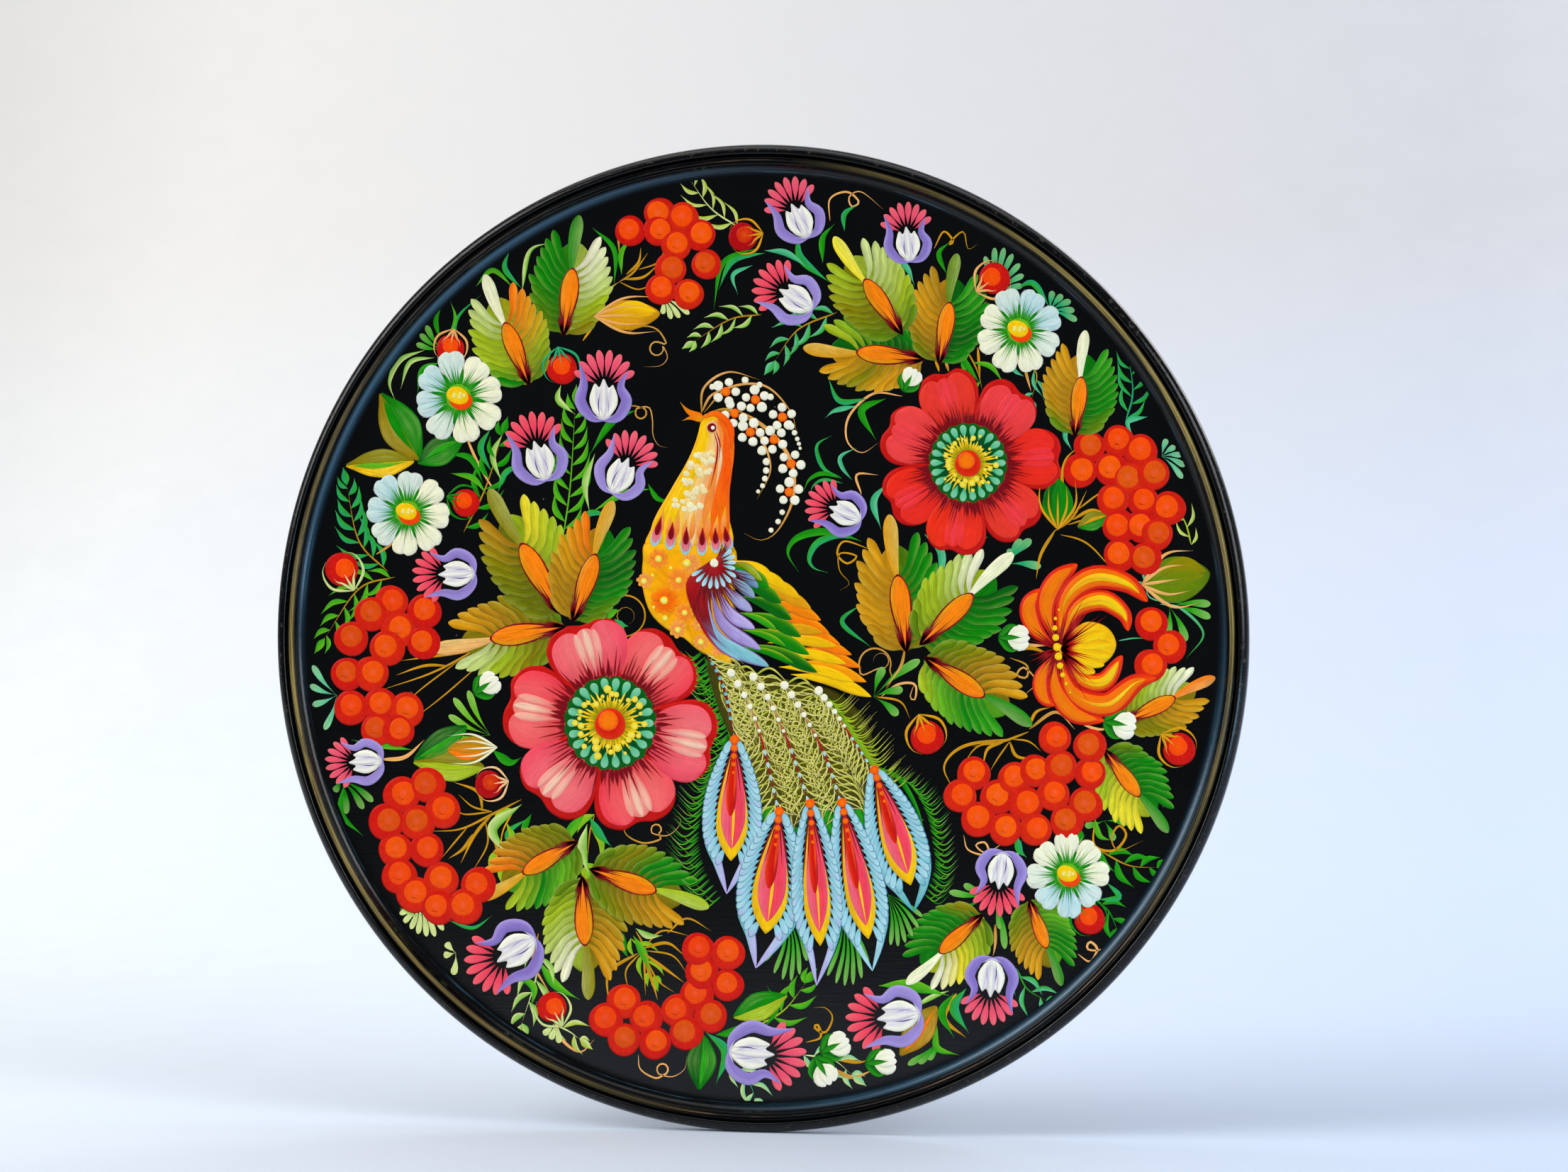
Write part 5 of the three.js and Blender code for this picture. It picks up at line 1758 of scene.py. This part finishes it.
def blades():
    """Long plain leaves."""
    leaves("blades_upper_left", [
        ([(-140, 116), (-150, 112), (-154.5, 103), (-152, 95)], 1.4),
        ([(-134, 121), (-135.5, 128), (-133, 134)], 1.3),
        ([(-130, 122), (-127.5, 129), (-129.5, 136)], 0.9),
        ([(-127, 112), (-127, 128), (-117, 138.5)], 0.9), ([(-136, 113), (-146, 111), (-150, 100)], 1.2),
        ([(-133, 111), (-141, 108), (-143, 98)], 1.3), ([(-119, 142), (-112, 148.5), (-103, 141)], 1.3),
        ([(-105.5, 156), (-107, 149), (-100, 141)], 1.4), ([(-100, 140), (-97, 156), (-88, 160)], 1.2),
        ([(-71, 166), (-62, 157), (-62, 142)], 1.3), ([(-59, 147), (-59, 156), (-54, 163)], 1.3),
        ([(-113, 84), (-117, 76), (-112, 66)], 1.6), ([(-108, 82), (-112, 73), (-108, 62)], 1.5),
        ([(-130, 74), (-121, 72), (-116, 62)], 1.6), ([(-129, 66), (-120, 64), (-114, 57)], 1.5),
        ([(-100, 70), (-107, 66), (-110, 58)], 1.5), ([(-84, 102), (-85, 96), (-78, 90)], 1.6),
        ([(-53, 92), (-63, 87), (-72, 74)], 1.9), ([(-47, 60), (-58, 58), (-72, 50)], 1.7),
        ([(-64, 49), (-72, 50), (-80, 43)], 1.6), ([(-70, 74), (-74, 62), (-72, 50)], 1.7),
        ([(-48, 62), (-44, 56), (-38, 55)], 1.3), ([(-65.3, 6.6), (-62.4, 10), (-59.2, 10.8)], 1.7),
        ([(-61.8, 7.2), (-59.4, 5), (-56, 4.2)], 1.7),
    ], [(PALE_LIME, GRASS), (GREEN, LEAF), (LEAF, GRASS), (JADE, LEAF)], level=1)
    leaves("blades_upper_right", [
        ([(0, 156), (-13, 153), (-19, 141)], 1.7), ([(-5, 151), (-13, 147), (-11, 139)], 1.1),
        ([(-3, 158), (-17, 152), (-21, 133)], 1.2), ([(14, 164), (15, 154), (27, 144)], 2.0),
        ([(0, 157), (9, 156), (18, 150)], 1.6), ([(24, 152), (24, 162), (29, 168)], 1.5),
        ([(33, 165), (33, 172), (39, 176)], 1.3), ([(50, 154), (58, 151), (62, 143)], 1.6),
        ([(75, 148), (72, 156), (77, 161)], 1.3), ([(43, 97), (31, 96), (26, 106)], 1.4),
        ([(38, 94), (29, 92), (25, 89)], 1.3), ([(50, 97), (40, 92), (46, 80)], 1.9),
        ([(31.5, 65), (25, 68), (22, 73.5), (22, 78.5), (28, 82)], 1.1),
        ([(36, 64), (32, 69), (31.5, 73.5), (38, 77)], 1.1),
        ([(32, 64.5), (24, 66.5), (18.5, 64), (16, 59)], 1.1),
        ([(32.5, 62.5), (25, 64), (20.5, 62), (18.5, 58)], 0.9), ([(50, 62), (45, 55), (48, 44)], 1.8),
        ([(78, 118), (84, 110), (89, 103)], 1.6), ([(104, 142), (111, 144), (118, 134)], 1.6),
        ([(158, 90), (150, 88), (152, 82)], 1.4),
        ([(40, 39), (31, 42), (22, 42.8), (13, 40), (9.6, 34), (14, 26.5)], 1.9),
        ([(38, 40), (29, 41), (21.5, 38), (18.4, 32), (20.5, 28), (26, 26.3)], 1.7),
        ([(66, 42), (73, 34), (71.5, 20)], 2.0), ([(92, 41), (84, 36), (79, 29)], 1.8),
        ([(39, 13), (32, 6), (44, -4)], 1.2), ([(126, 90), (124, 82), (127, 76)], 1.3),
    ], [(JADE, LEAF), (MINT, JADE), (LEAF, GREEN)], level=1)
    leaves("blades_lower", [
        ([(-173, -60), (-174, -72), (-165, -81)], 1.6), ([(-145, -46), (-160, -44), (-170, -42)], 1.4),
        ([(-100, -68), (-112, -78), (-104, -90)], 2.6), ([(-98, -74), (-106, -80), (-103, -88)], 1.2),
        ([(-96, -72), (-99, -78), (-98, -83)], 1.6), ([(-74, -72), (-80, -79), (-81, -86)], 2.4),
        ([(-73, -76), (-75, -86), (-72, -97)], 2.4), ([(-72, -73), (-68, -80), (-63, -85)], 2.2),
        ([(-112, -46), (-105, -51), (-100, -49)], 2.2), ([(-93, -131), (-86, -141), (-76, -147)], 2.2),
        ([(-150, -110), (-144, -113), (-140, -112)], 0.8),
        ([(-130, -115), (-120, -118), (-112, -113)], 1.0), ([(-58, -120), (-58, -126), (-56, -130)], 1.7),
        ([(-54, -121), (-50, -128), (-47, -136)], 2.1), ([(-53, -118), (-48, -121), (-42, -121)], 1.6),
        ([(-24, -160), (-16, -168), (-20, -181)], 2.4), ([(-20, -161), (-14, -160), (-9, -156)], 1.9),
        ([(47, -141), (60, -141), (76, -145)], 3.0), ([(76, -143), (68, -146), (60, -151)], 1.3),
        ([(83, -142), (78, -150), (84, -160)], 2.4), ([(78, -144), (73, -152), (78, -162)], 2.0),
        ([(71, -157), (71, -166), (80, -169)], 1.7), ([(114, -95), (104, -92), (106, -82)], 1.2),
        ([(104, -80), (105, -86), (108, -89)], 1.9), ([(128, -77), (130, -80), (129, -84)], 2.0),
        ([(136, -73), (138, -80), (143, -82)], 1.5), ([(117, -84), (124, -88), (132, -80)], 1.0),
        ([(141, -99), (146, -105), (136, -106)], 1.5), ([(0, -158), (5, -150), (1, -141)], 1.2),
        ([(-102, -137), (-95, -142), (-96, -150)], 1.8),
    ], [(GREEN, LEAF), (GRASS, LEAF), (GRASS, PALE_LIME), (JADE, LEAF)], level=1)


def loop(middle, radius, first, sweep):
    """Points round a circle, from one angle on through a sweep, in degrees."""
    return [polar(middle, first + sweep * k / 10, radius) for k in range(11)]


def curled_tendrils():
    """Curling tendrils in thin ochre and peach lines."""
    warm = [(OCHRE, PEACH), (PEACH, PEACH), (AMBER, OCHRE)]
    tendrils("tendrils_upper", [
        ([(-59, 89.5), (-55.5, 93.5), *loop((-51, 90.8), 2.3, 90, -330), (-47.6, 93), (-46.2, 88),
          (-46, 82), (-43.8, 77.8), (-40, 76.8)], 0.42),
        ([(27, 169), (27, 178), (34, 181), (39, 177), (36, 175), (35, 179), (40, 181), (49, 174)], 0.5),
        ([(70, 158), (74, 165), (78, 161), (76, 160), (82, 165), (84, 158), (88, 160)], 0.5),
        ([(-60, 156), (-60, 165), (-56, 170)], 0.5), ([(-68, 135), (-64, 141), (-60, 144)], 0.6),
        ([(-75, 120), (-70, 127), (-68, 131)], 0.6),
        ([(-58, 123), (-50, 126), (-44, 124.5), (-40.5, 119), *loop((-44.5, 117), 2.8, 60, 330),
          (-40, 113.5), (-43, 110), (-50, 109.5)], 0.4),
        ([(83, 120), (85, 130), (92, 137)], 0.5), ([(88, 118), (89, 105)], 0.7),
        ([(107, 111), (110, 100)], 0.7),
        ([(57, 98), (45, 99), (35, 90), (34, 80), (40, 75), (47, 79)], 0.6),
        ([(72, 108), (71, 114), (75, 119)], 0.8), ([(76, 108), (75, 113), (78, 117)], 0.8),
        ([(40, 58), (38, 66), (47, 66)], 0.6),
        ([(43, 36), (33, 39), (30, 34), (34, 30), (38, 33), (31, 34), (31, 27), (35, 22), (31, 19)], 0.5),
        ([(-160, 33), (-154, 37), (-150, 41)], 0.6),
        ([(-124, 84), (-119, 72), (-112, 60), (-107, 54)], 0.7),
        ([(-66, 0), *loop((-57.4, 8.6), 8.2, 200, -290), *loop((-57.2, 8.4), 3.6, 250, -330)], 0.4),
    ], warm, level=0.6)
    tendrils("tendrils_lower", [
        ([(50, -21), (52.5, -17), *loop((45.5, -11), 6.6, -20, 240), *loop((48, -9.5), 3.2, 250, 300)],
         0.45),
        ([(48, -24), (55, -19), (62, -19), (62, -25), (60, -24), (62, -18)], 0.6),
        ([(46, -24), (56, -26), (60, -33)], 0.5), ([(58, -4), (56, -12), (50, -20)], 0.7),
        ([(100, -3), (108, -3), (118, -3)], 0.9), ([(103, -5), (110, -4), (118, -7)], 0.9),
        ([(101, -8), (108, -11), (108, -16), (104, -15), (107, -12), (112, -18), (106, -24)], 0.5),
        ([(131, -35), (138, -37), (144, -36)], 0.7), ([(109, -36), (112, -30), (118, -28)], 0.8),
        ([(109, -37), (120, -30), (128, -37)], 0.8),
        ([(82, -80), (84, -86), (92, -88), (91, -83), (87, -84), (92, -87), (102, -80)], 0.5),
        ([(136, -74), (136, -84), (144, -86), (149, -80), (146, -76), (143, -81), (146, -86), (156, -82)],
         0.6),
        ([(-58, -74), (-57, -80), (-50, -83.5), (-43, -82), *loop((-44.6, -78), 2.1, -60, 300),
          (-40, -80.5), (-35.5, -77), (-34.5, -73.5), (-37, -72.5)], 0.45),
        ([(-52, -169), (-51, -175), (-45, -178.5), *loop((-42, -175), 2.3, -80, 320), (-38, -178),
          (-33, -175), (-32, -170)], 0.45),
        ([(17, -164), (23, -162), (22, -157), (20.5, -158), (25, -160), (28, -154), (25, -150), (20, -150)],
         0.6),
        ([(-93, -120), (-95, -132), (-88, -145)], 0.7),
        ([(-86, -152), (-84, -162), (-76, -168), (-70, -163)], 0.8),
        ([(28, -170), (38, -172), (43, -171)], 0.9), ([(27, -174), (36, -178), (45, -175)], 0.9),
        ([(129, -128), (134, -131), (137, -126), (134, -123), (133, -126), (139, -126), (144, -120)], 0.6),
        ([(79, -144), (74, -154), (83, -162)], 1.2), ([(95, -116), (95, -124), (94, -129)], 0.8),
        ([(-158, -50), (-148, -49), (-140, -42)], 0.9), ([(-40, -120), (-32, -114), (-22, -119)], 0.5),
    ], warm, level=0.6)


def twigs():
    """Forked twigs: each has its stem and its side arms."""
    branch("twigs_top", [(-60, 144), (-54, 148), (-48, 156)], [
        [(-57, 147), (-52, 152), (-51, 158)], [(-52, 149), (-44, 152), (-41, 158)],
        [(-58, 145), (-50, 146), (-44, 151)], [(-60, 144), (-52, 141), (-45, 144)],
    ], level=1)
    branch("twigs_left", [(-113, -2), (-135, -14), (-158, -22)], [
        [(-120, -6), (-135, -8), (-150, -10)], [(-126, -10), (-142, -22), (-150, -30)],
        [(-130, -12), (-140, -12), (-152, -16)], [(-118, -12), (-132, -24), (-145, -34)],
    ], level=1)
    branch("twigs_lower_left", [(-100, -66), (-112, -72), (-125, -78), (-138, -79)], [
        [(-112, -72), (-119, -80), (-125, -92)], [(-115, -74), (-114, -84), (-120, -95)],
        [(-114, -78), (-110, -86), (-112, -96)], [(-112, -71), (-120, -69), (-126, -64)],
        [(-116, -71), (-118, -63), (-128, -59)], [(-122, -77), (-128, -84), (-133, -90)],
        [(-120, -80), (-124, -86), (-130, -90)], [(-112, -71), (-124, -72), (-127, -68)],
    ], 0.6, level=1)
    branch("twigs_bottom", [(-53, -119), (-50, -126), (-49, -145)], [
        [(-50, -126), (-40, -124), (-33, -129)], [(-49, -127), (-38, -129), (-32, -136)],
        [(-50, -128), (-40, -135), (-33, -140)], [(-51, -128), (-57, -135), (-56, -143)],
        [(-52, -128), (-64, -136), (-64, -149)], [(-49, -130), (-44, -139), (-37, -144)],
        [(-49, -132), (-46, -140), (-44, -147)], [(-49, -125), (-42, -119), (-31, -121)],
    ], 0.6, level=1)
    branch("twigs_right", [(119, 43), (127, 49), (133, 60)], [
        [(127, 48), (135, 52), (142, 50)], [(129, 52), (137, 58), (143, 61)],
        [(128, 50), (123, 62), (124, 72), (130, 78)], [(125, 46), (134, 48), (142, 44)],
        [(120, 44), (114, 34), (112, 24)], [(122, 42), (130, 40), (136, 36), (144, 27)],
    ], 0.6, level=1)
    branch("twigs_lower_right", [(109, -38), (98, -42), (86, -44)], [
        [(100, -41), (82, -44), (74, -52), (78, -62)], [(98, -42), (88, -44), (82, -51)],
        [(99, -42), (92, -45), (90, -52)], [(101, -42), (96, -49), (93, -54)],
        [(101, -42), (104, -48), (112, -49)], [(102, -41), (109, -42), (114, -46)],
    ], 0.6, level=1)
    branch("twigs_far_right", [(157, 22), (150, 24)], [
        [(157, 22), (156, 30), (161, 33)], [(157, 22), (160, 16), (176, 14)],
        [(163, 14), (172, 12), (181, 2), (174, -8)], [(146, -1), (152, 0), (158, 0)],
    ], 0.5, (MINT, LEAF), level=1)


def picture():
    """The whole picture, from what lies lowest to what lies on top."""
    sprigs()
    drop_fans()
    blades()
    curled_tendrils()
    twigs()
    comb_leaves()
    plain_leaves()
    fruit()
    single_berries()
    great_flowers()
    daisies()
    tulips()
    curled_flower()
    buds()
    bird()


# Stage, lights and camera ---------------------------------


SWEEP_BACK = 1.7
SWEEP_BEND = 1.3
SWEEP_RISE = 2.6
SWEEP_FRONT = -4.0
SIDE_ROOM = 1.9
BEND_STEPS = 18
CORNER_TURNS = [math.radians(9 * k) for k in range(11)]


def pale_paper():
    """Pale paper with painted light and shade: painted warm light on the left, painted pale blue shade on the
    right, painted shade near the tray and under the window, and a painted shadow well in front of the tray.
    """
    look = Surface("pale_paper")
    place = look.place()
    x, y, z = look.split(place)
    upward = look.remap(z, 0.05, 0.5, 0.0, 1.0)
    # Painted light and shade: warm white on the left where the window light falls, pale blue and darker on
    # the right, each lighter and bluer low down.
    painted_lit_side = look.blend(upward, linear("f3f8fa"), linear("eeeae5"))
    painted_shaded_side = look.blend(upward, linear("c9d8ef"), linear("bfc0c6"))
    paper = look.blend(look.remap(x, -0.75, 0.3, 0.0, 1.0), painted_lit_side, painted_shaded_side)
    fibres = look.remap(look.noise(place, even(30.0), 3.0), 0.3, 0.7, 0.0, 0.12)
    # Painted shade near the tray and under the window, and a painted shadow on the paper well in front of the
    # tray.
    painted_shade_near_tray = look.remap(y, -0.1, 0.5, 0.14, 0.0)
    painted_shade_under_window = look.remap(x, -1.5, -0.7, 0.6, 0.0)
    painted_shadow_in_front = look.remap(y, -0.75, -0.3, 0.85, 0.0)
    look.shade("Base Color", look.layered(paper, [
        (fibres, "d6d8dc"), (painted_shade_near_tray, "b0b6c0"), (painted_shade_under_window, "a4a7ad"), (painted_shadow_in_front, "4c4f55")]))
    look.shade("Roughness", 0.9)
    return look.material


def stage():
    """Paper that curves up into a wall behind the tray and closes round both its sides."""
    middle = SWEEP_BACK - SWEEP_BEND
    profile = [(middle, 0.0)]
    for k in range(1, BEND_STEPS + 1):
        angle = math.pi / 2 * k / BEND_STEPS
        profile.append((middle + SWEEP_BEND * math.sin(angle), SWEEP_BEND - SWEEP_BEND * math.cos(angle)))
    profile.append((SWEEP_BACK, SWEEP_RISE))
    vertices, faces = [], []
    for y, z in profile:
        side, corner = y + SIDE_ROOM, 0.5 * y
        row = [(side, SWEEP_FRONT)]
        row += [(side - corner + corner * math.cos(a),
                 y - corner + corner * math.sin(a)) for a in CORNER_TURNS]
        row += [(-x, depth) for x, depth in reversed(row)]
        vertices += [(x, depth, z + LOW[2]) for x, depth in row]
    wide = len(row)
    for i in range(len(profile) - 1):
        for k in range(wide - 1):
            a = i * wide + k
            faces.append((a, a + wide, a + 1 + wide, a + 1))
    faces.append(tuple(range(wide)))
    mesh = bpy.data.meshes.new("pale_sweep")
    mesh.from_pydata(vertices, [], faces)
    mesh.shade_smooth()
    mesh.materials.append(pale_paper())
    sweep = new_object("pale_sweep", mesh)


def soft_light(name, place, aim, size, power, colour):
    """A rectangular light, turned towards what it lights."""
    data = bpy.data.lights.new(name, "AREA")
    data.shape = "RECTANGLE"
    data.size, data.size_y = size
    data.energy = power
    data.color = colour
    light = new_object(name, data)
    light.location = place
    light.rotation_euler = (Vector(aim) - Vector(place)).to_track_quat("-Z", "Y").to_euler()


def lights():
    """Windows on both sides, a pale ceiling, and a wash on the wall behind."""
    world = bpy.data.worlds.new("dim_room")
    bpy.context.scene.world = world
    world.use_nodes = True
    room = world.node_tree.nodes["Background"]
    room.inputs["Color"].default_value = (0.5, 0.56, 0.64, 1)
    room.inputs["Strength"].default_value = 0.18
    middle = (0.0, 0.0, CENTRE_Z)
    soft_light("window_left", (-1.7, -1.0, 1.3), middle, (1.2, 1.6), 40, (1.0, 0.985, 0.96))
    soft_light("sky_right", (1.9, -1.1, 0.9), middle, (1.0, 1.5), 31, (0.92, 0.96, 1.0))
    soft_light("ceiling", (0.0, -0.3, 2.3), middle, (2.0, 1.2), 12, (1.0, 1.0, 1.0))
    soft_light("wall_wash", (0.0, 0.5, 2.2), (0.0, 1.6, 0.4), (3.0, 0.8), 14, (0.97, 0.98, 1.0))
    soft_light("back_fill", (0.9, 1.4, 1.1), middle, (1.0, 0.8), 9, (1.0, 0.98, 0.95))
    soft_light("low_window_right", (0.62, -0.55, 0.07), middle, (0.3, 0.1), 1.2, (0.4, 0.7, 1.0))


# The view, in parts of the picture's width: how wide the tray is, and how far its middle lies from the
# picture's middle, to the right and up.
SENSOR_WIDTH = 36.0
TRAY_SHARE = 0.63065
TRAY_OFFSET = (-0.0208, -0.03345)


def camera():
    """A view from a little to the right, with the tray left of and below the picture's middle."""
    yaw, pitch = math.radians(CAMERA_YAW), math.radians(CAMERA_PITCH)
    away = Vector((math.sin(yaw) * math.cos(pitch), -math.cos(yaw) * math.cos(pitch), math.sin(pitch)))
    middle = Vector((0.0, -0.004, CENTRE_Z))
    picture_width = 2 * RIM_RADIUS / TRAY_SHARE
    data = bpy.data.cameras.new("camera")
    data.sensor_width = SENSOR_WIDTH
    data.lens = SENSOR_WIDTH * CAMERA_DISTANCE / picture_width
    view = new_object("camera", data)
    right = Vector((math.cos(yaw), math.sin(yaw), 0.0))
    up = right.cross(-away).normalized()
    aim = middle - picture_width * (TRAY_OFFSET[0] * right + TRAY_OFFSET[1] * up)
    view.location = middle + away * CAMERA_DISTANCE
    view.rotation_euler = (aim - view.location).to_track_quat("-Z", "Y").to_euler()
    bpy.context.scene.camera = view


stage()
lights()
camera()
bpy.context.scene.view_settings.view_transform = "Standard"
lacquered_boards(lacquer())
finish_hanger()
picture()
